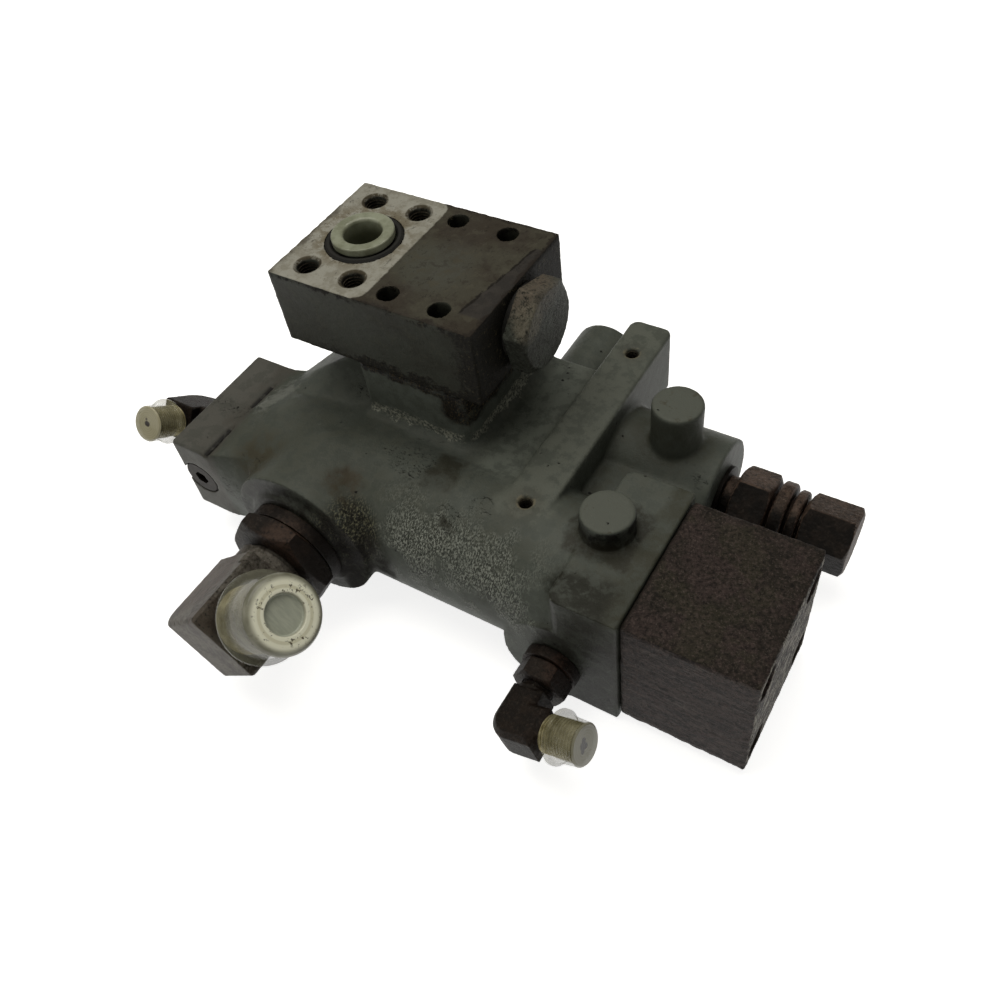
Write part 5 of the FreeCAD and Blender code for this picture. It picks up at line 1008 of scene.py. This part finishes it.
hose_outline = [(67.4, 0), (67.4, 9.2), (70, 9.8), (70, 16.2), (69.2, 17.8), (67.5, 18.8), (46.5, 19),
                (46.5, 20), (45.7, 22.2), (43.5, 22.2), (43.5, 16.8), (59.3, 16.8), (59.3, 11.7),
                (48.8, 11.7), (48.8, 0)]
cap("hose_port_cap", hose_outline, HOSE, "cap_plastic", looks["cap_plastic"], 0.5)
small_outline = [(39.2, 0), (39.2, 9.4), (38.4, 10.2), (27.5, 11.0), (27.5, 11.6), (26.5, 13), (24.5, 13),
                 (24.5, 9.3), (37.3, 9.3), (37.3, 0)]
cap("pilot_port_cap", small_outline, PILOT, "cap_plastic",
    clear_cap("clear_cap_pilot", *PILOT, 3.0, (150, 147, 128)), 0.3, 72)
cap("drain_port_cap", small_outline, DRAIN, "cap_plastic",
    clear_cap("clear_cap_drain", *DRAIN, 6.0, (176, 170, 140)), 0.3, 72)
plug_outline = [(-12.7, 0), (-12.7, 11.3), (-11.2, 12.3), (0.3, 12.3), (0.3, 16), (4.3, 16), (4.3, 10.8),
                (3.3, 9.8), (-10.2, 9.8), (-10.2, 0)]
cap("port_plug", plug_outline, ((0, 0, 0), (0, 0, 1)), "plug_plastic", looks["plug_plastic"], 0.7)

# %% [markdown]
# ## Threads in the tapped holes
# A tap leaves sharp crests that catch the light at the mouth of a hole. Each lining is a ring of crests
# turned from a zigzag, modelled once for each size and copied to its holes.

# %% Tapped holes
def lining(name, radius, pitch, start, end, place):
    """Ring of thread crests inside a hole. Its outer side lies in the metal."""
    outline = [(start, radius + 1.2)]
    station = start
    while station < end:
        outline += [(station, radius + 0.5), (station + pitch / 2, radius - 0.25)]
        station += pitch
    outline += [(station, radius + 0.5), (station, radius + 1.2), (start, radius + 1.2)]
    piece = spun(name, outline, place, (0, 0, -1), 48, 25)
    dress(piece, hole_steel)
    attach(piece, ROOT)
    return piece


def copies(piece, name, place, others):
    for number, spot in enumerate(others):
        pick(piece)
        bpy.ops.object.duplicate()
        twin = bpy.context.object
        twin.name = twin.data.name = name + str(number + 2)
        bpy.ops.transform.translate(value=[(b - a) * MM for a, b in zip(place, spot)])
        bpy.ops.object.transform_apply(location=True, rotation=True, scale=True)


hole_steel = forged("hole_steel", (70, 64, 52), (44, 38, 28), oil=0.0, seed=23.0, flake=1.2)
flange_holes = [(x, y, 0) for x in (-13.88, 13.88) for y in (-28.575, 28.575)]
first = lining("flange_thread_1", 5.15, 1.75, 2.2, 16, flange_holes[0])
pad_holes = [(120.5, -60.5, -74.7), (120.5, 53.2, -74.7)]
second = lining("pad_thread_1", 3.4, 1.25, 1.6, 9, pad_holes[0])
copies(first, "flange_thread_", flange_holes[0], flange_holes[1:])
copies(second, "pad_thread_", pad_holes[0], pad_holes[1:])
print("hole linings", len(flange_holes) + len(pad_holes))

# %% [markdown]
# ## Measure
# The skins are made to stay inside the room of the CAD solids; the finished model's box is measured.

# %% Measure
low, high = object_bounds()
